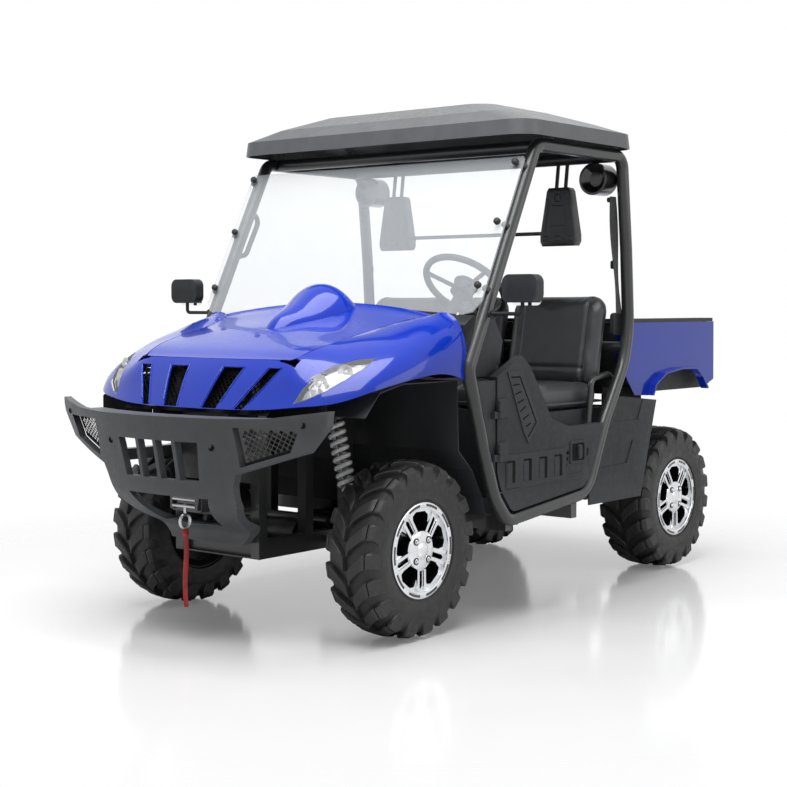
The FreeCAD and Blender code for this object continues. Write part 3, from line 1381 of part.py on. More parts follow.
def lattice(corners, pitch, bar, thickness):
    """A flat sheet with rows of diamond openings, from its corners in order."""
    origin = corners[0]
    across = (corners[1] - origin).normalize()
    normal = across.cross(corners[-1] - origin).normalize()
    up = normal.cross(across)
    flat = [((point - origin).dot(across), (point - origin).dot(up)) for point in corners]
    half = pitch / 2 - bar / 2

    def inside(u, v):
        for (u0, v0), (u1, v1) in zip(flat, flat[1:] + flat[:1]):
            length = math.hypot(u1 - u0, v1 - v0)
            if ((u1 - u0) * (v - v0) - (v1 - v0) * (u - u0)) / length < bar:
                return False
        return True

    wires = [polygon(corners)]
    columns = int(max(u for u, v in flat) / pitch) + 1
    rows = int(max(v for u, v in flat) / pitch) + 1
    for i in range(-columns, 2 * columns + 1):
        for j in range(-1, 2 * rows + 1):
            u = (i + j % 2 / 2) * pitch
            v = j * pitch / 2
            diamond = [(u - half, v), (u, v - half), (u + half, v), (u, v + half)]
            if all(inside(*corner) for corner in diamond):
                wires.append(polygon([origin + across * a + up * b for a, b in diamond]))
    return Part.Face(wires, "Part::FaceMakerBullseye").extrude(thickness)


def nose_mesh():
    """A mesh sheet behind the nose slots, standing on the nose posts."""
    half = SLOT_SHARES[1][1] * mm.body_half + mm.mesh_pitch / 2
    low = mm.nose_post_top + mm.seat_gap
    top = mm.nose_bottom + mm.slot_height - mm.mesh_pitch / 2
    y0 = NOSE_FOOT + mm.mesh_setback
    y1 = y0 + (top - low) * mm.mesh_lean
    sheet = lattice([Vector(half, y0, low), Vector(-half, y0, low), Vector(-half, y1, top),
                     Vector(half, y1, top)], mm.mesh_pitch, mm.mesh_bar,
                    Vector(0, mm.mesh_wall, 0))
    post = mm.rail_front_setback - mm.half_length - mm.seat_gap
    feet = both(block(RAIL_IN, RAIL_OUT, y0, post, low - mm.mesh_pitch, low + mm.mesh_wall))
    solid_part("nose_mesh", fused(sheet, *feet))


def hood_grid():
    rows = []
    seam_rows = BODY_GRID_SHARES[SEAM_START_ROW:]
    for row, (run, rise) in zip(seam_rows, HOOD_MIDDLE_SHARES):
        seam = body_point(row[-1])
        middle = body_point((0, run, rise))
        line = []
        for column in HOOD_COLUMN_SHARES:
            drop = column * column
            line.append(Vector(column * (seam.x - mm.hood_gap),
                               middle.y + (seam.y - middle.y) * drop,
                               middle.z + (seam.z - middle.z) * drop))
        rows.append(line)
    front = rows[0]
    rows[0] = [Vector(point.x, point.y + mm.hood_gap, point.z) for point in front]
    return rows


# The scoop's sections from its tip back: run, half width and height.
DOME_SHARES = ((0, 0.16, 0.06), (0.3, 0.55, 0.55), (0.62, 0.85, 0.86), (0.86, 1, 1), (1, 0.94, 0.62))


def hood():
    """The hood lid, a crowned panel with the air scoop raised on it."""
    grid = hood_grid()
    panel = skin(grid, mm.body_wall)
    middle = [row[len(row) // 2] for row in grid]
    rear = middle[-1]
    front = rear - Vector(0, mm.dome_setback + mm.dome_length, 0)
    slope = (middle[-1].z - middle[-4].z) / (middle[-1].y - middle[-4].y)
    sections = []
    for run, across, rise in DOME_SHARES:
        y = front.y + run * mm.dome_length
        base = rear.z - slope * (rear.y - y) - mm.body_wall * 2
        width = across * mm.dome_half
        tall = rise * mm.dome_height + mm.body_wall * 2
        ends = [Vector(-width, y, base), Vector(width, y, base)]
        crown = Part.Arc(ends[1], Vector(0, y, base + tall), ends[0]).toShape()
        sections.append(Part.Wire([crown, Part.LineSegment(ends[0], ends[1]).toShape()]))
    dome = Part.makeLoft(sections, True)
    lugs = both(hood_lug())
    solid_part("hood", fused(panel, dome, *lugs).cut(hood_pin(mm.seat_gap)))


def hood_pin(room):
    start = Vector(-mm.hood_lug_x - mm.hood_lug_width, mm.hood_pin_y, mm.hood_pin_z)
    return rod(start, Vector(-start.x, start.y, start.z), mm.hood_pin_radius + room)


def hood_lug():
    """A lug under the hood's front edge, round the hinge pin."""
    half = mm.hood_pin_radius * 2
    x = mm.hood_lug_x - mm.hood_lug_width / 2
    tall = block(x, x + mm.hood_lug_width, mm.hood_pin_y - half, mm.hood_pin_y + half,
                 mm.hood_pin_z - half, mm.hood_pin_z + mm.overrun * 2)
    return tall.common(skin(hood_grid(), mm.overrun * 2))


DASH_SHARES = (
    (0.035, 0.52), (0.085, 0.545), (0.202, 0.533), (0.247, 0.476), (0.229, 0.419),
    (0.157, 0.385), (0.035, 0.385),
)


def dashboard():
    half = mm.floor_half - mm.panel_wall
    points = cab_points(DASH_SHARES, -half)
    dash = plate(points, Vector(2 * half, 0, 0))
    bar = cab_points((DASH_BAR_SHARES,), 0)[0]
    sleeve = rod(Vector(-mm.cage_x, bar.y, bar.z), Vector(mm.cage_x, bar.y, bar.z),
                 mm.cage_tube + mm.seat_gap)
    hole = rod(Vector(), Vector(0, 0, -mm.column_length * 2), mm.column_radius + mm.seat_gap)
    hole.Placement = wheel_frame()
    solid_part("dashboard", dash.cut(sleeve).cut(hole))


# Bumper and winch

# The bumper's face from its top down: level as a share of its rise, setback as a share
# of the bow.
BUMPER_FACE_SHARES = ((1, 0.02), (0.95, 0), (0.81, 0.08), (0.52, 0.22), (0.39, 0.33),
                      (0.15, 1.05), (0, 1.21))
BUMPER_COLUMN_SHARES = (-1, -0.7, -0.4, 0, 0.4, 0.7, 1)
# Half of its outline seen from the front: shares of its half width and of its rise.
BUMPER_SHARES = (
    (0, 0.99), (0.45, 0.99), (0.7, 1), (1, 1.06), (0.99, 0.95), (0.88, 0.76), (0.5, 0.585),
    (0.475, 0.5), (0.455, 0.34), (0.34, 0.12), (0.27, 0),
)
BUMPER_WINDOW_SHARES = ((0.298, 0.808), (0.275, 0.52))
WINCH_WINDOW_SHARES = ((0.3, 0.39), (0.22, 0.155))
WING_WINDOW_SHARES = ((0.52, 0.93), (0.86, 0.93), (0.8, 0.76), (0.53, 0.64))
BUMPER_BARS = 3


def bumper_grid(forward=0):
    rows = []
    half = mm.bumper_half + mm.overrun
    for level, setback in BUMPER_FACE_SHARES:
        z = mm.bumper_top - mm.bumper_rise * (1 - level)
        if level in (0, 1):
            z += mm.overrun * (1 if level else -1) * 2
        rows.append([Vector(column * half, -mm.half_length + setback * mm.bumper_bow
                            + mm.bumper_bow * column * column - forward, z)
                     for column in BUMPER_COLUMN_SHARES])
    return rows


def front_prism(points):
    """An outline seen from the front, as a cutting solid through the nose."""
    lift = [Vector(x, -mm.half_length - mm.overrun, z) for x, z in points]
    return plate(lift, Vector(0, mm.bumper_bow * 3, 0))


def bumper_places(shares):
    return [(across * mm.bumper_half, mm.bumper_top - mm.bumper_rise * (1 - level))
            for across, level in shares]


def bumper_window(top, foot):
    corners = bumper_places((top, foot))
    return front_prism([corners[1], corners[0], (-corners[0][0], corners[0][1]),
                        (-corners[1][0], corners[1][1])])


def front_bumper():
    """The moulded bumper: bowed face with openings, three bars and mesh in its wings."""
    slab = skin(bumper_grid(), -mm.bumper_wall)
    half = bumper_places(BUMPER_SHARES)
    outline = half + [(-x, z) for x, z in reversed(half[1:])]
    body = slab.common(front_prism(outline))
    grille = bumper_window(*BUMPER_WINDOW_SHARES)
    wing = front_prism(bumper_places(WING_WINDOW_SHARES))
    wings = both(wing)
    body = body.cut(Part.makeCompound([grille, bumper_window(*WINCH_WINDOW_SHARES), *wings]))
    (top_x, top_z), (foot_x, foot_z) = bumper_places(BUMPER_WINDOW_SHARES)
    bars = []
    for k in range(BUMPER_BARS):
        middle = (k - (BUMPER_BARS - 1) / 2) * 2 * foot_x / (BUMPER_BARS + 1)
        bar = front_prism([(middle - mm.mesh_bar * 2, foot_z - mm.overrun),
                           (middle + mm.mesh_bar * 2, foot_z - mm.overrun),
                           (middle + mm.mesh_bar * 2, top_z + mm.overrun),
                           (middle - mm.mesh_bar * 2, top_z + mm.overrun)])
        bars.append(slab.common(bar))
    ledge_low = mm.bumper_top - mm.mesh_bar * 3
    ledge = bumper_shelf(ledge_low)
    solid_part("front_bumper", fused(body, *bars, ledge))
    corners = bumper_places(WING_WINDOW_SHARES)
    solid_part("bumper_mesh", *both(wing_net(corners)))


def wing_net(corners):
    """A mesh sheet that stands in a wing's window, halfway into the moulding."""
    middle_x = sum(x for x, z in corners) / len(corners)
    middle_z = sum(z for x, z in corners) / len(corners)
    corners = [(x + math.copysign(mm.seat_gap, middle_x - x),
                z + math.copysign(mm.seat_gap, middle_z - z)) for x, z in corners]
    near, far = corners[0][0], corners[1][0]
    bow = mm.bumper_bow / mm.bumper_half ** 2
    slope = bow * (far + near)
    start = -mm.half_length + mm.bumper_wall / 2 + bow * near ** 2
    points = []
    for x, z in corners:
        y = start + slope * (x - near) + mm.bracket_lean * (mm.bumper_top - z)
        points.append(Vector(x, y, z))
    return lattice(points[::-1], mm.mesh_pitch, mm.mesh_bar, Vector(0, mm.mesh_wall, 0))


def bumper_shelf(low):
    """The top ledge behind the bumper's face."""
    half = mm.nose_half
    front = [Vector(share * half, -mm.half_length + mm.bumper_wall / 2
                    + mm.bumper_bow * (share * half / mm.bumper_half) ** 2, low)
             for share in BUMPER_COLUMN_SHARES]
    back = [point + Vector(0, mm.bumper_ledge, 0) for point in reversed(front)]
    return plate(front + back, Vector(0, 0, mm.mesh_bar * 2))


def winch():
    """A drum between two cheeks, with a roller fairlead and a hook below it."""
    y, z = mm.winch_y + mm.winch_radius * 2, mm.winch_z
    half = mm.winch_half
    drum = rod(Vector(-half, y, z), Vector(half, y, z), mm.winch_radius / 2)
    cheeks = [rod(Vector(side * half, y, z), Vector(side * half / 2, y, z), mm.winch_radius)
              for side in (-1, 1)]
    rollers = []
    front = mm.winch_y
    for level in (z - mm.roller_radius * 2, z + mm.roller_radius * 2):
        rollers.append(rod(Vector(-half / 2, front, level), Vector(half / 2, front, level),
                           mm.roller_radius))
    for side in (-1, 1):
        rollers.append(block(side * half / 2 - mm.roller_radius, side * half / 2 + mm.roller_radius,
                             front - mm.roller_radius, y, z - mm.winch_radius, z + mm.winch_radius))
    solid_part("winch", fused(drum, *cheeks, *rollers))


def winch_hook():
    """The line's end and the hook that hangs in front of the bumper's foot."""
    y = mm.winch_y - mm.roller_radius - mm.hook_wire - mm.seat_gap
    bend = Vector(0, y, mm.hook_z)
    top = Vector(0, y, mm.winch_z - mm.roller_radius)
    ring = Part.makeTorus(mm.hook_radius, mm.hook_wire, bend, Vector(1, 0, 0))
    stem = rod(bend + Vector(0, 0, mm.hook_radius), top, mm.hook_wire)
    solid_part("winch_hook", fused(ring, stem))
    strap_top = mm.hook_z - mm.hook_radius - mm.hook_wire - mm.seat_gap
    strap = block(-mm.strap_width / 2, mm.strap_width / 2, y - mm.strap_wall / 2,
                  y + mm.strap_wall / 2, mm.strap_end, strap_top)
    solid_part("winch_strap", strap)


def skid_plate():
    """A plate under the rails from the bumper's foot to the seats."""
    front = mm.rail_front_setback - mm.half_length
    top = mm.rail_bottom - mm.seat_gap
    sheet = block(-RAIL_OUT, RAIL_OUT, front, mm.seat_front + mm.base_length, top - mm.skid_wall,
                  top)
    cuts = []
    for half, radius in ((mm.gear_case_half, mm.gear_case_radius),
                         (mm.gear_case_half + mm.boot_length, mm.boot_radius)):
        half += mm.panel_gap
        cuts.append(rod(Vector(-half, FRONT_AXLE, mm.tyre_radius),
                        Vector(half, FRONT_AXLE, mm.tyre_radius), radius + mm.panel_gap))
    solid_part("skid_plate", sheet.cut(Part.makeCompound(cuts)))


def wheel_arches():
    """Liners over the front wheels with inner walls beside the engine bay."""
    low = CAB_FRONT - mm.hood_gap * 4 - mm.arch_run
    rear = low + mm.arch_run
    top = mm.arch_top
    line = [(low, top - mm.arch_drop), (low + mm.arch_run * 0.15, top - mm.arch_drop / 4),
            (low + mm.arch_run * 0.4, top), (rear, top)]
    inner = RAIL_OUT + mm.seat_gap
    under = [(y, z - mm.arch_wall) for y, z in reversed(line)]
    sheet = plate([Vector(inner, y, z) for y, z in line + under],
                  Vector(mm.arch_half - inner, 0, 0))
    wall = plate([Vector(inner, y, z) for y, z in line]
                 + [Vector(inner, rear, top - mm.arch_skirt), Vector(inner, low, top - mm.arch_skirt)],
                 Vector(mm.arch_wall, 0, 0))
    tall = mm.shock_top_z + mm.eye_radius
    room = block(0, mm.shock_top_x + mm.post_width, FRONT_AXLE - mm.arm_spread - mm.post_width,
                 FRONT_AXLE, tall - mm.post_width, tall + mm.pad_thickness * 2)
    liner = fused(sheet, wall).cut(room)
    solid_part("wheel_arches", *both(liner))


# Small parts in the cab

def shift_levers():
    """Two levers that stand out of the dashboard's rear face."""
    face = cab_points(((0.23, 0.45),), 0)[0]
    dash = made("dashboard")
    room = Part.makeCompound([dash, dash.translated(Vector(0, mm.seat_gap, 0))])
    levers = []
    for side in (-1, 1):
        foot = Vector(side * mm.lever_x, face.y, face.z)
        tip = foot + Vector(0, mm.lever_length, 0)
        stem = rod(foot, tip, mm.lever_radius)
        levers.append(fused(stem, Part.makeSphere(mm.knob_radius, tip)).cut(room))
    solid_part("shift_levers", *levers)


MIRROR_STEM_SHARE = 0.24
MIRROR_CORNER_SHARE = 0.3


def side_mirrors():
    """A rounded head on a bent stem that is bolted to the front pillar."""
    root = pillar(MIRROR_STEM_SHARE, mm.cage_x)
    start = root + Vector(mm.cage_tube + mm.seat_gap, 0, 0)
    head = Vector(mm.mirror_x, mm.mirror_y, mm.mirror_z)
    bend = Vector(head.x, head.y, start.z)
    wire = bent_wire([start, bend, head], [0, mm.mirror_stem, 0])
    stem = piped(wire, mm.mirror_stem / 2)
    flange = rod(start, start + Vector(mm.mirror_stem / 2, 0, 0), mm.mirror_stem)
    shell = block(head.x - mm.mirror_width / 2, head.x + mm.mirror_width / 2,
                  head.y - mm.mirror_depth / 2, head.y + mm.mirror_depth / 2,
                  head.z - mm.mirror_height / 2, head.z + mm.mirror_height / 2)
    upright = [edge for edge in shell.Edges if abs(edge.tangentAt(0).y) > 0.9]
    shell = shell.makeFillet(mm.mirror_height * MIRROR_CORNER_SHARE, upright)
    solid_part("side_mirrors", *both(fused(shell, stem, flange)))


def speaker_pods():
    """Round pods in the roof's rear corners, under the rear roof tube."""
    x = mm.cage_x - mm.cage_tube - mm.pod_radius - mm.seat_gap
    z = mm.cab_bottom + mm.cab_height - mm.cage_tube - mm.pod_radius - mm.seat_gap
    pods = []
    for side in (-1, 1):
        back = Vector(side * x, mm.pod_y + mm.pod_depth / 2, z)
        front = back - Vector(0, mm.pod_depth, 0)
        can = rod(back, front, mm.pod_radius)
        cone = Part.makeCone(mm.pod_radius * 0.45, mm.pod_radius * 0.85, mm.pod_depth / 4,
                             front + Vector(0, mm.pod_depth / 4, 0), Vector(0, -1, 0))
        pods.append(can.cut(cone))
    solid_part("speaker_pods", *pods)


HANDLE_SHARES = ((0.26, 0.868), (0.334, 0.831), (0.261, 0.723), (0.171, 0.709))


def grab_handle():
    """A bent tube between two points of the passenger's front pillar."""
    points = cab_points(HANDLE_SHARES, -mm.cage_x)
    tube = bent_tube(points, mm.handle_tube * 3, mm.handle_tube)
    room = piped(cage_wire(-mm.cage_x), mm.cage_tube + mm.seat_gap)
    pieces = tube.cut(room).Solids
    solid_part("grab_handle", max(pieces, key=lambda solid: solid.Volume))


HOOP_SHARES = ((0.6, -0.3), (0.64, 0.62), (0.92, 0.75), (0.98, -0.3))


def hip_bars():
    """A hoop on each side of the seats, on foot plates on the seat base."""
    points = []
    for along, rise in HOOP_SHARES:
        points.append(Vector(mm.hoop_x, mm.seat_front + along * mm.base_length,
                             mm.cushion_top - mm.cushion_height + rise * mm.cushion_height * 2))
    tube = bent_tube(points, mm.hoop_tube * 3, mm.hoop_tube)
    feet = [block(mm.base_half + mm.seat_gap, mm.hoop_x, point.y - mm.hoop_tube,
                  point.y + mm.hoop_tube, point.z, point.z + mm.hoop_tube * 3)
            for point in (points[0], points[-1])]
    solid_part("hip_bars", *both(fused(tube, *feet)))


BELT_SHARES = ((0.926, 0.885), (0.975, 0.55))


def seat_belts():
    """Webbing that lies along the inner side of the rear pillars."""
    top, foot = cab_points(BELT_SHARES, mm.cage_x - mm.cage_tube - mm.seat_gap - mm.belt_wall)
    half = Vector(0, mm.belt_width / 2, 0)
    strap = plate([foot - half, foot + half, top + half, top - half], Vector(mm.belt_wall, 0, 0))
    reel = block(foot.x - mm.belt_wall * 8, foot.x + mm.belt_wall, foot.y - mm.belt_width * 0.75,
                 foot.y + mm.belt_width * 0.75, foot.z - mm.belt_width * 2, foot.z)
    solid_part("seat_belts", *both(fused(strap, reel)))


# Roof

# Sections from the edge up: rise, half width, front and rear. Shares of the roof's sizes.
ROOF_SHARES = ((0, 1, 0, 1), (0.375, 0.993, 0.007, 0.993), (0.67, 0.81, 0.071, 0.947),
               (1, 0.581, 0.214, 0.847))


def roof_wire(share, room):
    rise, across, front, rear = share
    half = across * mm.roof_half - room
    y0 = -mm.roof_front + front * mm.roof_run + room
    y1 = -mm.roof_front + rear * mm.roof_run - room
    z = mm.roof_bottom + rise * (mm.roof_rise - room)
    corners = [Vector(half, y0, z), Vector(half, y1, z), Vector(-half, y1, z), Vector(-half, y0, z)]
    return bent_wire(corners, [mm.roof_corner] * 4, closed=True)


def roof_panel():
    """A crowned shell open below, with a mount pad over each roof tube's end."""
    outer = Part.makeLoft([roof_wire(share, 0) for share in ROOF_SHARES], True, True)
    inner = Part.makeLoft([roof_wire(share, mm.roof_wall) for share in ROOF_SHARES], True, True)
    base = mm.cab_bottom + mm.cab_height + mm.cage_tube + mm.seat_gap
    top = mm.roof_bottom + mm.roof_rise
    pads = []
    for y in (mm.pad_front_y, mm.pad_rear_y):
        for side in (-1, 1):
            foot = Vector(side * mm.cage_x, y, base)
            pads.append(rod(foot, Vector(foot.x, y, top), mm.roof_pad).common(outer))
            pads.append(rod(foot, Vector(foot.x, y, mm.roof_bottom + mm.roof_wall), mm.roof_pad))
    solid_part("roof_panel", fused(outer.cut(inner), *pads))


# Cargo bed

BED_REAR = mm.bed_front + mm.bed_length - mm.gate_setback
# The bed side's outline: shares of the bed's length and height.
BED_SHARES = (
    (-0.013, 1), (0.994, 1), (1, 0.184), (0.861, 0.062), (0.8, 0.231), (0.727, 0.347),
    (0.557, 0.353), (0.387, 0.306), (0.278, 0.172), (0.247, 0.028), (0.101, 0.047),
    (0.025, 0.25), (-0.013, 0.375),
)
ARCH_SHARES = BED_SHARES[3:10]
BED_PINS = Vector(0, mm.bed_pivot_y, mm.bed_pivot_z)
GATE_Y = BED_REAR + mm.gate_setback + mm.gate_gap
GATE_Z = mm.bed_bottom + mm.gate_hinge_rise


def bed_points(shares, x):
    return side_points(shares, x, (mm.bed_front, mm.bed_bottom), (mm.bed_length, mm.bed_height))


def gate_tabs(room):
    """The bed's hinge tabs for the tailgate, or with room the notches through it."""
    half = mm.gate_tab + room
    rear = GATE_Y + mm.gate_tab / 2 + room * 2
    tabs = []
    for side in (-1, 1):
        x = side * mm.gate_hinge_x
        tabs.append(block(x - half, x + half, BED_REAR - mm.overrun, rear,
                          GATE_Z - half, GATE_Z + half))
    return tabs


def gate_pins(room):
    pins = []
    for side in (-1, 1):
        x = side * mm.gate_hinge_x
        reach = mm.gate_tab * 2
        pins.append(rod(Vector(x - reach - room, GATE_Y, GATE_Z),
                        Vector(x + reach + room, GATE_Y, GATE_Z), mm.gate_pin_radius + room))
    return pins


def bed_tub():
    """Floor, front wall and side walls, with lugs on the tilt pins."""
    half = mm.bed_tub_half
    low = mm.bed_bottom + mm.bed_floor * 2 / 3
    top = mm.bed_bottom + mm.bed_height
    floor = block(-half, half, mm.bed_front, BED_REAR, low, low + mm.bed_floor)
    front = block(-half, half, mm.bed_front, mm.bed_front + mm.bed_wall, low, top)
    shapes = [floor, front]
    for side in (-1, 1):
        x0, x1 = sorted((side * half, side * (half + mm.bed_wall)))
        shapes.append(block(x0, x1, mm.bed_front, BED_REAR, low, top))
    rib = mm.bed_floor / 2
    count = 9
    for k in range(count):
        x = (k - (count - 1) / 2) * 2 * half / count
        shapes.append(block(x - rib, x + rib, mm.bed_front, BED_REAR, low + mm.bed_floor,
                            low + mm.bed_floor + mm.bed_wall))
    pad = mm.bed_front + mm.post_width
    shapes.append(block(-RAIL_OUT, RAIL_OUT, pad - mm.post_width / 2, pad + mm.post_width / 2,
                        mm.bed_bottom, low))
    outer = RAIL_OUT + mm.post_width
    for side in (-1, 1):
        lug_x = sorted((side * (outer - mm.pad_thickness), side * (RAIL_OUT + mm.pad_thickness)))
        eye = rod(BED_PINS + Vector(lug_x[0], 0, 0), BED_PINS + Vector(lug_x[1], 0, 0),
                  mm.pivot_radius * 2)
        shapes += [eye, block(lug_x[0], lug_x[1], mm.bed_pivot_y - mm.pivot_radius * 2,
                              mm.bed_pivot_y + mm.pivot_radius * 2, mm.bed_pivot_z, low)]
    shapes += gate_tabs(0) + gate_pins(0)
    bore = rod(BED_PINS - Vector(half, 0, 0), BED_PINS + Vector(half, 0, 0),
               mm.pivot_radius + mm.seat_gap)
    solid_part("bed_tub", fused(*shapes).cut(bore))


def bed_sides():
    """Outer panels cut out round the wheels, with a flared lip, joined to the tub."""
    x = mm.bed_half - mm.bed_side
    panel = plate(bed_points(BED_SHARES, x - mm.bed_wall), Vector(mm.bed_wall, 0, 0))
    arch = bed_points(ARCH_SHARES, x - mm.bed_wall)
    middle = Vector(arch[0].x, REAR_AXLE, mm.bed_bottom - mm.overrun)
    raised = []
    for point in arch:
        out = (point - middle).normalize()
        raised.append(point + out * mm.bed_wall * 2)
    lip = plate(arch + raised[::-1], Vector(mm.bed_side + mm.bed_wall, 0, 0))
    rear = bed_points(((0.994, 1), (1, 0.184)), x - mm.bed_wall)
    inner = mm.bed_tub_half + mm.bed_wall + mm.seat_gap
    top = mm.bed_bottom + mm.bed_height
    ends = []
    for y in (mm.bed_front, BED_REAR - mm.lamp_thickness * 2):
        ends.append(block(inner, x, y, y + mm.bed_wall, mm.bed_bottom + mm.bed_height / 2, top))
    side = fused(panel, lip, *ends)
    solid_part("bed_sides", *both(side))


def bed_rails():
    """Rails along the top of the bed's sides and front."""
    top = mm.bed_bottom + mm.bed_height + mm.seat_gap
    outer = mm.bed_half - mm.bed_side
    inner = mm.bed_tub_half - mm.bed_rail
    rail = block(-outer, outer, mm.bed_front - mm.bed_wall * 2, BED_REAR, top, top + mm.bed_rail)
    hollow = block(-inner, inner, mm.bed_front + mm.bed_rail * 2, BED_REAR + mm.overrun,
                   top - mm.overrun, top + mm.overrun)
    solid_part("bed_rails", rail.cut(hollow))


def tail_lamps():
    x0 = mm.bed_tub_half + mm.bed_wall * 2
    x1 = x0 + mm.lamp_width
    rear = BED_REAR - mm.lamp_thickness * 2 + mm.bed_wall + mm.seat_gap
    top = mm.bed_bottom + mm.bed_height - mm.bed_wall * 2
    lamp = block(x0, x1, rear, rear + mm.lamp_thickness, top - mm.lamp_height, top)
    solid_part("tail_lamps", *both(lamp))


def tailgate():
    """The gate: a frame round a thinner panel, notched for the hinge tabs."""
    half = mm.gate_half
    deep = mm.gate_thickness / 2
    low = GATE_Z - mm.gate_gap
    top = low + mm.gate_height
    slab = block(-half, half, GATE_Y - deep, GATE_Y + deep, low, top)
    border = mm.gate_thickness * 2
    recess = block(-half + border, half - border, GATE_Y + deep / 2, GATE_Y + deep * 2,
                   low + border, top - border)
    slab = slab.cut(Part.makeCompound([recess] + gate_tabs(mm.panel_gap) + gate_pins(mm.seat_gap)))
    solid_part("tailgate", slab)


# Drive and cooling

def engine():
    """The engine and gearbox as one block at its real size and place."""
    base = RAIL_TOP + mm.seat_gap
    half = mm.engine_width / 2
    solid_part("engine", block(-half, half, mm.engine_front, mm.engine_front + mm.engine_length,
                               base, base + mm.engine_height))


def radiator():
    front = mm.rail_front_setback - mm.half_length
    half = RAIL_IN - mm.seat_gap
    core = block(-half, half, front, front + mm.radiator_depth,
                 mm.nose_post_top - mm.radiator_height, mm.nose_post_top)
    solid_part("radiator", core)


def muffler():
    half = RAIL_IN - mm.seat_gap
    can = rod(Vector(-half, mm.bed_pivot_y, mm.muffler_z), Vector(half, mm.bed_pivot_y, mm.muffler_z),
              mm.muffler_radius)
    start = Vector(half / 2, mm.bed_pivot_y, mm.muffler_z)
    pipe = rod(start, start + Vector(0, mm.muffler_radius + mm.pipe_length, 0), mm.pipe_radius)
    solid_part("muffler", fused(can, pipe))


def tow_hitch():
    """A square receiver under the rear cross member, with its upright pin's hole."""
    top = mm.rail_bottom - mm.seat_gap
    half = mm.hitch_tube / 2
    hole = mm.hitch_bore / 2
    front = mm.half_length - mm.hitch_length
    tube = block(-half, half, front, mm.half_length, top - mm.hitch_tube, top)
    bore = block(-hole, hole, front - mm.overrun, mm.half_length + mm.overrun,
                 top - half - hole, top - half + hole)
    pin_y = mm.half_length - half
    pin = rod(Vector(0, pin_y, top + half), Vector(0, pin_y, top - mm.hitch_tube - half),
              mm.hitch_pin / 2)
    solid_part("tow_hitch", tube.cut(bore).cut(pin))


BUILD_ORDER = (
    wheels, knuckles, tie_rods, arms, shocks, drive_shafts, roll_cage, windshield, chassis_frame,
    floor_tub, doors, side_panels, seats, seat_base, headrests, steering_wheel, steering_column,
    front_body, nose_mesh, hood, wheel_arches, dashboard, front_bumper, winch, winch_hook,
    skid_plate, shift_levers, side_mirrors, speaker_pods, grab_handle, hip_bars, seat_belts,
    roof_panel, bed_tub, bed_sides, bed_rails, tail_lamps, tailgate, engine, radiator, muffler,
    tow_hitch,
)

for build in BUILD_ORDER:
    build()

doc.recompute()
for thing in doc.Objects:
    if {"Invalid", "Error"} & set(thing.State):
        raise ValueError(thing.Label + " did not compute")
for thing in parts:
    if thing.Shape.isNull() or not thing.Shape.isValid():
        raise ValueError(thing.Label + " has no valid shape")
os.makedirs("parts", exist_ok=True)
for thing in parts:
    thing.Shape.exportStep("parts/" + thing.Label + ".step")
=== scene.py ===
"""Side by side utility vehicle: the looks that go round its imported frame."""

import math

import bmesh
import bpy
from mathutils import Matrix, Vector
from mathutils.bvhtree import BVHTree


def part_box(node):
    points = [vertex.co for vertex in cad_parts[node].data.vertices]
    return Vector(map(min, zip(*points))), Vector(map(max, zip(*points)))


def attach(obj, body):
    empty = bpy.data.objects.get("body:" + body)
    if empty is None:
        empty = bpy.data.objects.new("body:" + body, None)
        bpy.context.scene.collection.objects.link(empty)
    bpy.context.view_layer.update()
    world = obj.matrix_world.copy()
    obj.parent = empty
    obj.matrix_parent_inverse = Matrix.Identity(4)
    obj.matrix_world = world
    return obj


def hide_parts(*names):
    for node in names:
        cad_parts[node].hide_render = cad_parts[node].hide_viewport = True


bl_info = {
    "name": "Side by Side Vehicle",
    "version": (1, 0, 0),
    "blender": (4, 5, 0),
    "location": "3D View > Sidebar > Vehicle",
    "description": "Dresses the packed frame of a utility vehicle and sets its stage",
    "category": "Object",
}

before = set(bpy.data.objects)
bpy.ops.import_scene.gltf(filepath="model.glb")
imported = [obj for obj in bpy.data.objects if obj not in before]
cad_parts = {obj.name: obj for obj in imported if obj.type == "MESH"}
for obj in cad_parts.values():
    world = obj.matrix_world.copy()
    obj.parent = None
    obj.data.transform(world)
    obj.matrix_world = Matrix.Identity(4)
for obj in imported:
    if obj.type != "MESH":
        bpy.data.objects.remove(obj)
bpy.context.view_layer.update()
SIDES = (1, -1)
SIDE_NAMES = {1: "left", -1: "right"}
UP = Vector((0, 0, 1))
FORWARD = Vector((0, -1, 0))
BACKWARD = Vector((0, 1, 0))
FULL_TURN = 2 * math.pi
# How far outside the vehicle a line starts that is cast at it.
FAR = 2


# Finishes

FINISHES = {}
NOISE_DETAIL = 3.0
MOTTLE_SCALE = 14.0
GLOSS_SCALE = 45.0
WORN_EDGES = (0.53, 0.62)
# Waves along a band and across it: scale, direction, depth and strength.
WEAVE = ((260.0, "Z", 0.0006, 0.8), (340.0, "DIAGONAL", 0.0003, 0.5))


class Tree:
    """A node tree, written from left to right."""

    def __init__(self, tree):
        self.tree = tree

    def add(self, kind, **values):
        node = self.tree.nodes.new(kind)
        for name, value in values.items():
            setattr(node, name, value)
        return node

    def link(self, output, socket):
        self.tree.links.new(output, socket)

    def spread(self, factor, low, high, start=0.3, end=0.7):
        node = self.add("ShaderNodeMapRange")
        for name, value in (("From Min", start), ("From Max", end), ("To Min", low),
                            ("To Max", high)):
            node.inputs[name].default_value = value
        self.link(factor, node.inputs["Value"])
        return node.outputs["Result"]

    def larger(self, first, second):
        node = self.add("ShaderNodeMath", operation="MAXIMUM")
        self.link(first, node.inputs[0])
        self.link(second, node.inputs[1])
        return node.outputs[0]


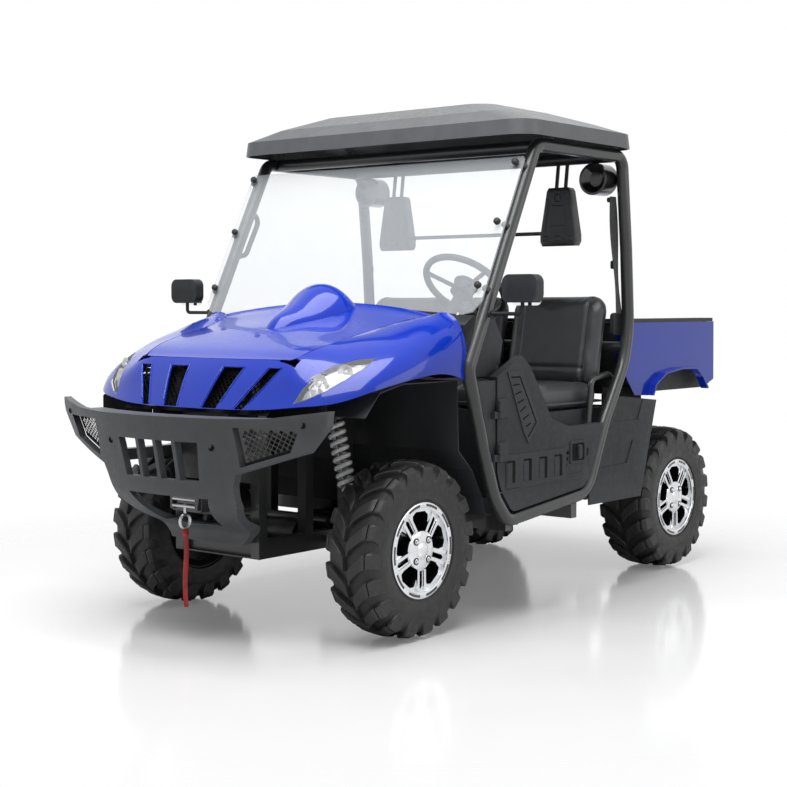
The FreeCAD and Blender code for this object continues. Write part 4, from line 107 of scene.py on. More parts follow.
class Nodes(Tree):
    """A material's node tree, with textures in the object's own coordinates."""

    def __init__(self, name):
        self.material = bpy.data.materials.new(name)
        self.material.use_nodes = True
        super().__init__(self.material.node_tree)
        self.shader = self.tree.nodes["Principled BSDF"]
        self.place = self.add("ShaderNodeTexCoord").outputs["Object"]

    def set(self, **sockets):
        for name, value in sockets.items():
            self.shader.inputs[name.replace("_", " ")].default_value = value

    def texture(self, kind, output, scale, **values):
        node = self.add(kind, **values)
        node.inputs["Scale"].default_value = scale
        self.link(self.place, node.inputs["Vector"])
        return node.outputs[output]

    def noise(self, scale):
        height = self.texture("ShaderNodeTexNoise", "Fac", scale)
        height.node.inputs["Detail"].default_value = NOISE_DETAIL
        return height

    def cells(self, scale):
        return self.texture("ShaderNodeTexVoronoi", "Distance", scale,
                            feature="DISTANCE_TO_EDGE")

    def waves(self, scale, axis):
        return self.texture("ShaderNodeTexWave", "Fac", scale, bands_direction=axis)

    def blended(self, factor, first, second):
        node = self.add("ShaderNodeMix", data_type="RGBA")
        for socket, value in ((node.inputs["A"], first), (node.inputs["B"], second)):
            if isinstance(value, bpy.types.NodeSocket):
                self.link(value, socket)
            else:
                socket.default_value = (*value, 1)
        self.link(factor, node.inputs["Factor"])
        return node.outputs["Result"]

    def bumped(self, height, depth, strength=0.5, under=None):
        node = self.add("ShaderNodeBump")
        node.inputs["Distance"].default_value = depth
        node.inputs["Strength"].default_value = strength
        self.link(height, node.inputs["Height"])
        if under is not None:
            self.link(under, node.inputs["Normal"])
        self.link(node.outputs["Normal"], self.shader.inputs["Normal"])
        return node.outputs["Normal"]


def finish(name, colour, tone, rough, grain, depth, texture="noise", worn=None, **sockets):
    """A mottled surface with fine relief: tone is the second colour, rough a low and a high."""
    nodes = Nodes(name)
    base = nodes.blended(nodes.spread(nodes.noise(MOTTLE_SCALE), 0.0, 1.0), colour, tone)
    if worn is not None:
        edge = nodes.add("ShaderNodeNewGeometry").outputs["Pointiness"]
        base = nodes.blended(nodes.spread(edge, 0.0, 1.0, *WORN_EDGES), base, worn)
    nodes.link(base, nodes.shader.inputs["Base Color"])
    gloss = nodes.spread(nodes.noise(GLOSS_SCALE), *rough)
    nodes.link(gloss, nodes.shader.inputs["Roughness"])
    nodes.bumped(nodes.cells(grain) if texture == "cells" else nodes.noise(grain), depth)
    nodes.set(**sockets)
    FINISHES[name] = nodes.material
    return nodes


def webbing(name, colour, tone):
    """A woven band: ribs along and across, from waves at the thread's size."""
    nodes = finish(name, colour, tone, (0.7, 0.85), 900.0, 0.0002, Sheen_Weight=0.3)
    under = None
    for scale, axis, depth, strength in WEAVE:
        under = nodes.bumped(nodes.waves(scale, axis), depth, strength, under)


def shaded(colour, share):
    return tuple(part * share for part in colour)


def make_finishes(looks):
    blue, black, strap = tuple(looks.paint), tuple(looks.moulding), tuple(looks.strap)
    finish("body_blue", blue, shaded(blue, 0.92), (0.2, 0.26), 900.0, 0.00006,
           Specular_IOR_Level=0.1, Coat_Weight=0.65, Coat_Roughness=0.02)
    finish("moulded_black", black, shaded(black, 0.75), (0.5, 0.62), 1100.0, 0.0004,
           worn=shaded(black, 1.9), Specular_IOR_Level=0.3)
    # The roof's black lightened to stand for the sky's sheen on its top: painted sheen.
    finish("roof_black_painted_sheen", (0.11, 0.114, 0.121), (0.09, 0.094, 0.1), (0.3, 0.42), 900.0, 0.0003)
    # The bumper's black lightened to stand for its sheen: painted sheen; its lighter edges are
    # wear.
    finish("bumper_black_painted_sheen", (0.066, 0.07, 0.077), (0.055, 0.058, 0.064), (0.4, 0.52), 1000.0,
           0.0005, worn=(0.085, 0.088, 0.094), Specular_IOR_Level=0.45)
    finish("satin_black", (0.017, 0.018, 0.019), (0.022, 0.023, 0.024), (0.3, 0.4), 500.0,
           0.0001, worn=(0.05, 0.05, 0.052), Coat_Weight=0.3)
    finish("gloss_black", (0.012, 0.012, 0.013), (0.018, 0.018, 0.02), (0.14, 0.22), 300.0,
           0.00005, Coat_Weight=0.5)
    finish("tyre_rubber", (0.011, 0.011, 0.012), (0.019, 0.019, 0.02), (0.36, 0.55), 700.0,
           0.0005, worn=(0.05, 0.05, 0.053), Specular_IOR_Level=0.4)
    finish("polished_rim", (0.78, 0.79, 0.81), (0.68, 0.69, 0.71), (0.14, 0.24), 160.0, 0.0002,
           Metallic=1.0)
    finish("bright_steel", (0.6, 0.6, 0.61), (0.45, 0.45, 0.46), (0.25, 0.4), 500.0, 0.0001,
           Metallic=1.0)
    finish("dark_steel", (0.09, 0.09, 0.095), (0.05, 0.05, 0.052), (0.35, 0.5), 400.0, 0.0003,
           Metallic=0.7)
    finish("cast_iron", (0.07, 0.07, 0.073), (0.045, 0.045, 0.046), (0.5, 0.65), 260.0, 0.0008,
           Metallic=0.5)
    finish("spring_white", (0.98, 0.98, 0.98), (0.94, 0.94, 0.95), (0.2, 0.3), 300.0, 0.0001,
           Coat_Weight=1.0)
    finish("seat_vinyl", (0.045, 0.047, 0.051), (0.056, 0.058, 0.063), (0.3, 0.42), 420.0,
           0.0005, texture="cells")
    finish("grip_rubber", (0.015, 0.015, 0.015), (0.02, 0.02, 0.02), (0.45, 0.6), 600.0, 0.0004,
           texture="cells")
    finish("lamp_chrome", (0.4, 0.41, 0.43), (0.14, 0.145, 0.155), (0.1, 0.2), 34.0, 0.004,
           Metallic=1.0)
    finish("red_lens", (0.42, 0.006, 0.008), (0.34, 0.004, 0.006), (0.1, 0.18), 240.0, 0.0006,
           texture="cells", Coat_Weight=0.8)
    finish("mirror_glass", (0.85, 0.87, 0.88), (0.82, 0.84, 0.85), (0.02, 0.04), 30.0, 0.00001,
           Metallic=1.0)
    # Near-black for hollows, grooves and gaps: painted shade.
    finish("painted_shade_black", (0.003, 0.003, 0.003), (0.006, 0.006, 0.006), (0.6, 0.8), 300.0,
           0.0001, Specular_IOR_Level=0.1)
    finish("dial_face", (0.012, 0.012, 0.012), (0.02, 0.02, 0.02), (0.3, 0.4), 200.0, 0.0001)
    finish("dial_mark", (0.8, 0.8, 0.78), (0.74, 0.74, 0.72), (0.4, 0.5), 200.0, 0.0001)
    # The windshield's whitish base, shown at this share, is partly its own tint and partly
    # painted reflection of the studio.
    finish("clear_screen", (0.86, 0.9, 0.92), (0.8, 0.85, 0.88), (0.05, 0.1), 20.0, 0.00002,
           Alpha=looks.screen_haze_and_reflection)
    finish("clear_lens", (0.9, 0.93, 0.95), (0.86, 0.9, 0.93), (0.02, 0.05), 20.0, 0.00002,
           Alpha=0.16, Coat_Weight=1.0)
    webbing("belt_webbing", (0.022, 0.022, 0.024), (0.034, 0.034, 0.036))
    webbing("red_webbing", strap, shaded(strap, 0.7))


# What each of the frame's nodes is finished in.
NODE_FINISHES = {
    "body_blue": ("nose_panel", "front_fenders", "hood", "bed_sides", "tailgate"),
    "moulded_black": ("floor_tub", "door_left", "door_right", "side_panels", "seat_base",
                      "steering_column", "wheel_arches", "dashboard", "bed_tub", "bed_rails",
                      "side_mirrors"),
    "roof_black_painted_sheen": ("roof_panel",),
    "bumper_black_painted_sheen": ("front_bumper",),
    # The grille mesh behind the nose: its own black, deepened to painted shade.
    "painted_shade_black": ("nose_mesh",),
    "satin_black": ("roll_cage", "chassis_frame", "suspension_arms", "grab_handle", "hip_bars",
                    "tow_hitch", "headrest_rods"),
    "gloss_black": ("bumper_mesh", "shift_levers", "speaker_pods"),
    "polished_rim": ("rim_front_left", "rim_front_right", "rim_rear_left", "rim_rear_right"),
    "bright_steel": ("winch_hook",),
    "dark_steel": ("winch", "shock_dampers", "tie_rods", "drive_shafts", "skid_plate",
                   "radiator", "muffler"),
    "cast_iron": ("knuckle_left", "knuckle_right", "rear_hub_carriers", "engine"),
    "spring_white": ("shock_springs",),
    "grip_rubber": ("steering_wheel",),
    "tyre_rubber": ("tyre_front_left", "tyre_front_right", "tyre_rear_left",
                    "tyre_rear_right"),
    "seat_vinyl": ("seat_cushions", "seat_backs", "headrests"),
    "belt_webbing": ("seat_belts",),
    "red_webbing": ("winch_strap",),
    "red_lens": ("tail_lamps",),
    "clear_screen": ("windshield",),
    "clear_lens": ("headlamps",),
}


# Shapes

def shifted(x, y, z):
    return Matrix.Translation((x, y, z))


def placed(points, place):
    return [place @ Vector(point) for point in points]


def facing(origin, way):
    """A place whose own Z points the given way."""
    turn = Vector(way).to_track_quat("Z", "Y").to_matrix().to_4x4()
    return Matrix.Translation(Vector(origin)) @ turn


def polar(radius, turn, height=0.0):
    return Vector((radius * math.cos(turn), radius * math.sin(turn), height))


def turns(count):
    """Angles evenly spaced round a full turn."""
    return [FULL_TURN * k / count for k in range(count)]


def loops(rings, closed=True, caps=True):
    """Points and faces of a skin over rings of as many points each."""
    count = len(rings[0])
    points = [point for ring in rings for point in ring]
    faces = []
    for row in range(len(rings) - 1):
        for i in range(count if closed else count - 1):
            j = (i + 1) % count
            faces.append((row * count + i, row * count + j, (row + 1) * count + j,
                          (row + 1) * count + i))
    if caps:
        last = (len(rings) - 1) * count
        faces.append(tuple(reversed(range(count))))
        faces.append(tuple(range(last, last + count)))
    return points, faces


def round_loops(rings):
    """A skin whose last ring joins its first."""
    points, faces = loops(rings + rings[:1], caps=False)
    wrap = len(rings) * len(rings[0])
    return points[:wrap], [tuple(i % wrap for i in face) for face in faces]


def turned(profile, steps, place):
    """A turned part: the profile runs from its foot to its top as (radius, height)."""
    return loops([placed([polar(radius, turn, height) for turn in turns(steps)], place)
                  for radius, height in profile])


def ring_part(profile, steps, place):
    """A ring: the profile is a closed outline of (radius, height), turned round Z."""
    return round_loops([placed([polar(radius, turn, height) for radius, height in profile],
                               place) for turn in turns(steps)])


def tube(path, radius, sides=12):
    """A round tube along points."""
    rings = []
    side = None
    for i, point in enumerate(path):
        ahead = path[min(i + 1, len(path) - 1)] - path[max(i - 1, 0)]
        ahead.normalize()
        if side is None:
            side = ahead.orthogonal().normalized()
        side = (side - ahead * side.dot(ahead)).normalized()
        other = ahead.cross(side)
        rings.append([point + (side * math.cos(turn) + other * math.sin(turn)) * radius
                      for turn in turns(sides)])
    return loops(rings)


def slab(outline, height, chamfer, place):
    """A flat part on its outline, with its upper edge chamfered."""
    foot = [Vector((x, y, 0)) for x, y in outline]
    middle = sum(foot, Vector()) / len(foot)
    edge = [point + UP * (height - chamfer) for point in foot]
    top = [point + UP * height + (middle - point).normalized() * chamfer for point in foot]
    return loops([placed(ring, place) for ring in (foot, edge, top)])


def round_corners(width, height, radius, steps=4):
    """An outline with round corners, centred on its middle."""
    points = []
    for x, y, start in ((1, 1, 0), (-1, 1, 90), (-1, -1, 180), (1, -1, 270)):
        for k in range(steps + 1):
            turn = math.radians(start + 90 * k / steps)
            points.append((x * (width / 2 - radius) + radius * math.cos(turn),
                           y * (height / 2 - radius) + radius * math.sin(turn)))
    return points


def pad(size, height, chamfer, place):
    """A slab with round corners: size is its width, its height and its corners' radius."""
    return slab(round_corners(*size), height, chamfer, place)


def strip(start, end, width):
    """The outline of a straight strip between two points."""
    along = Vector(end) - Vector(start)
    across = Vector((-along.y, along.x)).normalized() * width / 2
    return [tuple(point) for point in (Vector(start) - across, Vector(end) - across,
                                       Vector(end) + across, Vector(start) + across)]


def widened(profile, radius):
    """A profile whose radii are given as shares of a radius."""
    return [(share * radius, rise) for share, rise in profile]


# A bolt's flange, as shares of its head's radius; and its head's height, chamfer and foot.
FLANGE = ((1.35, 0), (1.35, 0.15), (1.05, 0.3))
HEAD_HEIGHT, HEAD_CHAMFER, HEAD_FOOT = 0.85, 0.12, 0.2


def bolt(origin, way, radius):
    """A flanged hexagon bolt head."""
    place = facing(origin, way)
    hexagon = [tuple(polar(radius, turn).xy) for turn in turns(6)]
    return [turned([(share * radius, rise * radius) for share, rise in FLANGE], 20, place),
            slab(hexagon, radius * HEAD_HEIGHT, radius * HEAD_CHAMFER,
                 place @ shifted(0, 0, radius * HEAD_FOOT))]


def mesh_of(name, parts):
    """One mesh from several lots of points and faces."""
    points, faces = [], []
    for part_points, part_faces in parts:
        shift = len(points)
        points += part_points
        faces += [tuple(i + shift for i in face) for face in part_faces]
    mesh = bpy.data.meshes.new(name)
    mesh.from_pydata(points, [], faces)
    shape = bmesh.new()
    shape.from_mesh(mesh)
    bmesh.ops.recalc_face_normals(shape, faces=shape.faces)
    shape.to_mesh(mesh)
    shape.free()
    return mesh


def piece(name, parts, body, material, sharp=34.0):
    """A finished piece that rides on one of the frame's bodies."""
    mesh = parts if isinstance(parts, bpy.types.Mesh) else mesh_of(name, parts)
    made = bpy.data.objects.new(name, mesh)
    bpy.context.scene.collection.objects.link(made)
    mesh.materials.clear()
    mesh.materials.append(FINISHES[material])
    mesh.shade_smooth()
    mesh.set_sharp_from_angle(angle=math.radians(sharp))
    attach(made, body)
    return made


TREES = {}


def touch(node, origin, way):
    """Where a line from outside first meets one of the frame's nodes."""
    if node not in TREES:
        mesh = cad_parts[node].data
        TREES[node] = BVHTree.FromPolygons([vertex.co for vertex in mesh.vertices],
                                           [tuple(face.vertices) for face in mesh.polygons])
    spot = TREES[node].ray_cast(Vector(origin), Vector(way))[0]
    if spot is None:
        raise RuntimeError(f"{node} isn't met from {tuple(origin)}")
    return spot


def side_place(x, side):
    """A place on a side plane: its own X runs back, its Y up and its Z outwards."""
    return Matrix(((0, 0, side, x), (1, 0, 0, 0), (0, 1, 0, 0), (0, 0, 0, 1)))


# Wheels

WHEELS = (("front_left", 1), ("front_right", -1), ("rear_left", 1), ("rear_right", -1))
# Half of the tyre's outside: share of the half width, share of the way from bead to crown.
CASING_SHARES = ((0.87, 0.0), (0.885, 0.15), (0.93, 0.2), (0.95, 0.19), (0.99, 0.4), (1.0, 0.55),
                 (0.985, 0.7), (0.93, 0.84), (0.84, 0.92), (0.68, 0.965), (0.45, 0.985),
                 (0.2, 1.0), (0.03, 1.0))
CASING_STEPS = 144
# How many rows of the casing the lugs reach over, from the middle of the tread.
TREAD_ROWS = 6.6
# A lug's section: share of its half length, share of its height.
LUG_SECTION = ((-1.14, -0.3), (-1.0, 0.84), (-0.84, 1.0), (0.84, 1.0), (1.0, 0.84),
               (1.14, -0.3))
LUG_STEPS = 8
# A lug's two blocks: where each starts and ends over the tread, and its turn from the first.
LUG_BLOCKS = ((0.03, 0.5, 0.0), (0.535, 1.0, 0.014))
LUG_BEND = 2.3
LUG_WIDTHS = (0.78, 0.3)
LUG_FALL = (0.6, 0.7)
LUG_END = 0.88
TYRE_GAP = 0.001


class Tyre:
    """A tyre's casing and lugs about its own axle, which runs along X."""

    def __init__(self, sizes, width):
        self.sizes = sizes
        self.half = width / 2
        self.crown = sizes.radius - sizes.lug_height
        outer = [(share * self.half, sizes.bead + rise * (self.crown - sizes.bead))
                 for share, rise in CASING_SHARES]
        self.profile = outer + [(-across, radius) for across, radius in reversed(outer)]
        self.tread = list(reversed(outer))

    def point(self, across, radius, turn):
        return Vector((across, radius * math.sin(turn), -radius * math.cos(turn)))

    def on_tread(self, share, lift):
        """A place over the casing: share 0 is the middle of the tread and 1 a lug's far end."""
        reach = share * TREAD_ROWS
        row = int(reach)
        start, end = self.tread[row], self.tread[row + 1]
        across, radius = (a + (b - a) * (reach - row) for a, b in zip(start, end))
        slope = math.atan2(start[1] - end[1], end[0] - start[0])
        return (min(across + lift * math.sin(slope), self.half),
                min(radius + lift * math.cos(slope), self.sizes.radius))

    def lug(self, turn, way, start, end):
        """One block of a lug, from a share of the tread to another, curving as it goes out."""
        sizes = self.sizes
        rings = []
        for k in range(LUG_STEPS + 1):
            share = start + (end - start) * k / LUG_STEPS
            lean = sizes.lug_lean * math.sin(LUG_BEND * share)
            half = sizes.lug_length * (LUG_WIDTHS[0] + LUG_WIDTHS[1] * share) / sizes.radius / 2
            fall = max(share - LUG_FALL[0], 0.0) / (1 - LUG_FALL[0])
            lift = sizes.lug_height * (1.0 - LUG_FALL[1] * fall * fall)
            top = LUG_END if k in (0, LUG_STEPS) else 1.0
            ring = []
            for along, rise in LUG_SECTION:
                across, radius = self.on_tread(share, lift * rise * (1 if rise < 0 else top))
                ring.append(self.point(across * way, radius, turn - lean + along * half))
            rings.append(ring)
        return loops(rings)

    def parts(self):
        made = [round_loops([[self.point(across, radius, turn) for across, radius in
                              self.profile] for turn in turns(CASING_STEPS)])]
        count = self.sizes.lugs
        for k in range(count):
            for way in SIDES:
                turn = FULL_TURN * (k + (0.5 if way < 0 else 0.0)) / count
                for start, end, ahead in LUG_BLOCKS:
                    made.append(self.lug(turn + ahead, way, start, end))
        return made


def wheel_place(name):
    """The wheel's middle, the width of its rim over the flanges, and that of its tyre."""
    rim_low, rim_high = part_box("rim_" + name)
    low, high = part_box("tyre_" + name)
    return (low + high) / 2, rim_high.x - rim_low.x, high.x - low.x


ARC_STEPS = 8


def arc_plate(inner, outer, start, end, height, place):
    """A plate along part of a ring."""
    rings = []
    for k in range(ARC_STEPS + 1):
        turn = start + (end - start) * k / ARC_STEPS
        rings.append(placed([polar(inner, turn), polar(outer, turn), polar(outer, turn, height),
                             polar(inner, turn, height)], place))
    return loops(rings)


# Seats

SWELL_FRAMES = 20
CHANNEL_REACH = 3.0
CORNER_STEPS = 6
SHARP_SOFT = 60.0


def evaluated(made):
    graph = bpy.context.evaluated_depsgraph_get()
    return bpy.data.meshes.new_from_object(made.evaluated_get(graph))


def relaxed(name, rings, sizes):
    """The rings' skin as a stuffed cover: remeshed evenly, then swollen by cloth pressure."""
    made = bpy.data.objects.new(name + "_form", mesh_of(name, [loops(rings)]))
    scene = bpy.context.scene
    scene.collection.objects.link(made)
    remesh = made.modifiers.new("even", "REMESH")
    remesh.mode = "VOXEL"
    remesh.voxel_size = sizes.voxel
    even = evaluated(made)
    made.modifiers.clear()
    made.data = even
    rest = [vertex.co.copy() for vertex in even.vertices]
    settings = made.modifiers.new("swell", "CLOTH").settings
    settings.use_pressure = True
    settings.uniform_pressure_force = sizes.pressure
    settings.effector_weights.gravity = 0.0
    for number in range(SWELL_FRAMES):
        scene.frame_set(number + 1)
    swollen = evaluated(made)
    made.modifiers.clear()
    scene.frame_set(1)
    for vertex, start, blown in zip(even.vertices, rest, swollen.vertices):
        move = blown.co - start
        if move.length > sizes.swell:
            move *= sizes.swell / move.length
        vertex.co = start + move
    made.modifiers.new("fine", "SUBSURF").levels = 1
    soft = evaluated(made)
    bpy.data.objects.remove(made)
    return soft


def channel(mesh, distance, depth, width):
    """Presses a sewn channel into a cover: distance gives how far a point is from the seam."""
    normals = [vertex.normal.copy() for vertex in mesh.vertices]
    for vertex, normal in zip(mesh.vertices, normals):
        away = distance(vertex.co) / width
        if away < CHANNEL_REACH:
            vertex.co -= normal * depth * math.exp(-away * away)


def sewn(mesh, depth, cross_share, width, seam, across, buried):
    """Presses in two channels at seam either way of the middle, and one across between."""
    for middle in (-seam, seam):
        channel(mesh, lambda co, middle=middle: abs(co.x - middle) + buried(co), depth, width)
    channel(mesh, lambda co: across(co) + max(0, abs(co.x) - seam) + buried(co),
            depth * cross_share, width)


def stacked(width, depth, corner, rows, spot):
    """Rings of an outline with round corners; rows give each one's rise and inset.

    spot gives a point's place from the outline's two measures and the rise.
    """
    return [[Vector(spot(x, y, rise)) for x, y in round_corners(
        width - inset * 2, depth - inset * 2, corner, CORNER_STEPS)] for rise, inset in rows]


# Sizes

class VehicleLooks(bpy.types.PropertyGroup):
    paint: bpy.props.FloatVectorProperty(
        name="Paint", description="Colour of the painted body", subtype="COLOR",
        default=(0.002, 0.034, 0.47), min=0, max=1)
    moulding: bpy.props.FloatVectorProperty(
        name="Moulding", description="Colour of the moulded black plastic", subtype="COLOR",
        default=(0.019, 0.02, 0.022), min=0, max=1)
    strap: bpy.props.FloatVectorProperty(
        name="Strap", description="Colour of the hook's strap", subtype="COLOR",
        default=(0.55, 0.008, 0.012), min=0, max=1)
    # How much of the windshield's whitish base shows: partly its tint, partly painted
    # reflection.
    screen_haze_and_reflection: bpy.props.FloatProperty(
        name="Screen haze", description="How much the windshield hides", default=0.24,
        min=0, max=1, subtype="FACTOR")


class TyreSizes(bpy.types.PropertyGroup):
    radius: bpy.props.FloatProperty(
        name="Radius", description="Tyre over its lugs", default=0.315, unit="LENGTH")
    bead: bpy.props.FloatProperty(
        name="Bead", description="Radius where the tyre meets its rim", default=0.1532,
        unit="LENGTH")
    lug_height: bpy.props.FloatProperty(
        name="Lug height", description="Height of a tread lug", default=0.017, unit="LENGTH")
    lug_length: bpy.props.FloatProperty(
        name="Lug length", description="Tread lug along the tread", default=0.058,
        unit="LENGTH")
    lug_lean: bpy.props.FloatProperty(
        name="Lug lean", description="How far a lug runs round on its way out", default=0.26,
        unit="ROTATION")
    lugs: bpy.props.IntProperty(
        name="Lugs", description="Lugs round each half of the tread", default=19)


class SeatSizes(bpy.types.PropertyGroup):
    voxel: bpy.props.FloatProperty(
        name="Grid", description="Size of the cover's even mesh", default=0.011,
        unit="LENGTH")
    pressure: bpy.props.FloatProperty(
        name="Pressure", description="Pressure that swells the covers", default=4.0)
    swell: bpy.props.FloatProperty(
        name="Swell", description="How far a cover may swell", default=0.012, unit="LENGTH")
    channel_depth: bpy.props.FloatProperty(
        name="Channel depth", description="How deep a sewn channel is", default=0.009,
        unit="LENGTH")
    piping: bpy.props.FloatProperty(
        name="Piping", description="Radius of the piping along the edges", default=0.0035,
        unit="LENGTH")


class StageSizes(bpy.types.PropertyGroup):
    camera_place: bpy.props.FloatVectorProperty(
        name="Camera", description="Where the camera stands", subtype="TRANSLATION",
        default=(3.9149, -4.9914, 1.1708))
    camera_turn: bpy.props.FloatProperty(
        name="Camera turn", description="Which way the camera looks", subtype="ANGLE",
        default=math.radians(38.879))
    camera_dip: bpy.props.FloatProperty(
        name="Camera dip", description="How far the camera looks down", subtype="ANGLE",
        default=math.radians(3.268))
    lens: bpy.props.FloatProperty(
        name="Lens", description="Focal length of the camera", default=70.327,
        unit="CAMERA")
    world_strength: bpy.props.FloatProperty(
        name="Sky", description="Soft light from all round", default=0.2, min=0)
    key_power: bpy.props.FloatProperty(
        name="Key lamp", description="Power of the large lamp overhead", default=330.0,
        unit="POWER")
    side_power: bpy.props.FloatProperty(
        name="Side lamp", description="Power of the lamp beside the vehicle", default=45.0,
        unit="POWER")
    floor_radius: bpy.props.FloatProperty(
        name="Floor", description="Radius of the floor before it fades", default=9.0,
        unit="LENGTH")


# Operators

# How far in from a rim's outer edge its bright face reaches; the faces deeper in are near-black,
# painted shade in the rim's hollows.
RIM_FACE = 0.0165


class UTV_OT_finishes(bpy.types.Operator):
    """Make every finish and give each of the frame's nodes its own."""

    bl_idname = "utv.finishes"
    bl_label = "Finishes"

    def execute(self, context):
        make_finishes(context.scene.utv_looks)
        for name, nodes in NODE_FINISHES.items():
            for node in nodes:
                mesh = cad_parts[node].data
                mesh.materials.clear()
                mesh.materials.append(FINISHES[name])
        # Each rim's faces deeper in than its bright face take the near-black: painted shade in
        # its hollows.
        for name, _ in WHEELS:
            node = "rim_" + name
            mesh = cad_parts[node].data
            mesh.materials.append(FINISHES["painted_shade_black"])
            edge = max(abs(corner.x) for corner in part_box(node))
            for face in mesh.polygons:
                face.material_index = 0 if abs(face.center.x) > edge - RIM_FACE else 1
        return {"FINISHED"}


class UTV_OT_tyres(bpy.types.Operator):
    """Build the four tyres with their lugs in place of the plain ones."""

    bl_idname = "utv.tyres"
    bl_label = "Tyres"

    def execute(self, context):
        for name, _ in WHEELS:
            middle, _, width = wheel_place(name)
            tyre = Tyre(context.scene.utv_tyres, width - TYRE_GAP)
            mesh = mesh_of("tread_" + name, tyre.parts())
            mesh.transform(Matrix.Translation(middle))
            made = piece("tread_" + name, mesh, "wheel_" + name, "tyre_rubber", 28.0)
            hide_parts("tyre_" + name)
        return {"FINISHED"}


RIM_RING = ((0.1505, -0.004), (0.1685, -0.004), (0.1685, 0.0008), (0.166, 0.002),
            (0.153, 0.002), (0.1505, 0.0))
# The slots are gloss black plates: painted shade in the hollows they stand for.
RIM_SLOTS = 10
RIM_SLOT = (0.1553, 0.1642)
SLOT_TURN, SLOT_HEIGHT = 0.2, 0.0027
# The studs between two slots: how far out, how far apart either way, how high, and their shape.
STUD_RADIUS, STUD_TURN, STUD_FOOT = 0.1597, 0.045, 0.0012
STUD = ((0.0042, 0), (0.0042, 0.0022), (0.003, 0.0034), (0.0006, 0.0036))
HUB_DOME = ((0.07, 0.0), (0.068, 0.004), (0.06, 0.0075), (0.045, 0.0095), (0.032, 0.0098),
            (0.031, 0.008), (0.029, 0.008), (0.028, 0.0104), (0.02, 0.014), (0.01, 0.0158),
            (0.001, 0.0162))
HUB_DEPTH = 0.011
NUTS, NUT_RADIUS, NUT_FOOT, NUT_LIFT, NUT_SIZE = 4, 0.0485, 0.0075, 0.0028, 0.006
# A nut's seat is a gloss black ring: painted shade in the nut's hole.
NUT_SEAT = ((0.0135, 0), (0.0135, 0.0032), (0.0115, 0.0036))
# A rib along a spoke: radius and half width at its start and at its end, and its outward spread.
SPOKES, RIB_SHIFT, RIB_SPREAD = 5, 0.0175, 1.1
RIB_START, RIB_END = (0.066, 0.0055), (0.142, 0.0065)
VALVE = ((0.0045, 0), (0.0045, 0.018), (0.0055, 0.019), (0.0055, 0.028), (0.003, 0.03))
VALVE_PLACE = Vector((0.13, 0.03, -0.04))
ROTOR = ((0.046, -0.002), (0.1, -0.002), (0.1, 0.002), (0.046, 0.002))
ROTOR_IN = 0.075


class UTV_OT_wheel_trim(bpy.types.Operator):
    """Add the rims' bead rings, slots, studs, nuts, hub domes, valves and brake discs."""

    bl_idname = "utv.wheel_trim"
    bl_label = "Wheel trim"

    def ribs(self, disc):
        made = []
        for k in range(SPOKES):
            place = disc @ Matrix.Rotation(math.pi / 2 + FULL_TURN * (k + 0.5) / SPOKES, 4, "Z")
            for shift in (-RIB_SHIFT, RIB_SHIFT):
                (near, thin), (far, wide) = RIB_START, RIB_END
                spread = shift * RIB_SPREAD
                made.append(slab([(near, shift - thin), (far, spread - wide),
                                  (far, spread + wide), (near, shift + thin)], 0.0065, 0.002,
                                 place))
        return made

    def execute(self, context):
        for name, side in WHEELS:
            body, way = "wheel_" + name, (side, 0, 0)
            middle, width, _ = wheel_place(name)
            edge = Vector((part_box("rim_" + name)[side > 0].x, middle.y, middle.z))
            out = facing(edge, way)
            disc = out @ shifted(0, 0, -HUB_DEPTH)
            # The slots and nut seats go on a gloss black piece of painted shade.
            bright, shade_parts = [ring_part(RIM_RING, 96, out)], []
            for turn in turns(RIM_SLOTS):
                shade_parts.append(arc_plate(*RIM_SLOT, turn - SLOT_TURN, turn + SLOT_TURN, SLOT_HEIGHT,
                                      out))
                place = out @ Matrix.Rotation(turn + math.pi / RIM_SLOTS, 4, "Z")
                for shift in (-STUD_TURN, STUD_TURN):
                    spot = place @ polar(STUD_RADIUS, shift, STUD_FOOT)
                    bright.append(turned(STUD, 12, facing(spot, way)))
            bright.append(turned(HUB_DOME, 64, disc))
            for turn in turns(NUTS):
                spot = disc @ polar(NUT_RADIUS, math.pi / NUTS + turn, NUT_FOOT)
                shade_parts.append(turned(NUT_SEAT, 24, facing(spot, way)))
                bright += bolt(spot + Vector((side * NUT_LIFT, 0, 0)), way, NUT_SIZE)
            bright += self.ribs(disc)
            piece("rim_trim_" + name, bright, body, "polished_rim")
            piece("rim_shade_plates_" + name, shade_parts, body, "gloss_black")
            piece("valve_" + name, [turned(VALVE, 14, facing(out @ VALVE_PLACE, way))], body,
                  "grip_rubber")
            inner = edge - Vector((side * (width - ROTOR_IN), 0, 0))
            piece("brake_disc_" + name, [ring_part(ROTOR, 72, facing(inner, way))], body,
                  "bright_steel")
        return {"FINISHED"}


# The seats: name, middle and width.
SEATS = (("driver", 0.392, 0.488), ("passenger", -0.392, 0.488), ("middle", 0.0, 0.292))
# A cushion's rings: share of its height and inset; a back's: share of its thickness and inset.
CUSHION_ROWS = ((0.04, 0.02), (0.12, 0.008), (0.5, 0.004), (0.78, 0.006), (0.9, 0.018),
                (0.965, 0.04))
BACK_ROWS = ((0.0, 0.03), (0.12, 0.014), (0.35, 0.004), (0.65, 0.004), (0.88, 0.014),
             (1.0, 0.03))
CUSHION_GAP, BACK_GAP = 0.012, 0.014
CUSHION_CORNER, BACK_CORNER = 0.05, 0.065
BACK_HEIGHT, BACK_THICKNESS, BACK_LEAN = 0.402, 0.062, math.radians(-12)
BACK_FOOT, BACK_SHIFT = 0.385, (0, 0.009, 0.004)
PIPING_RISE = 0.028


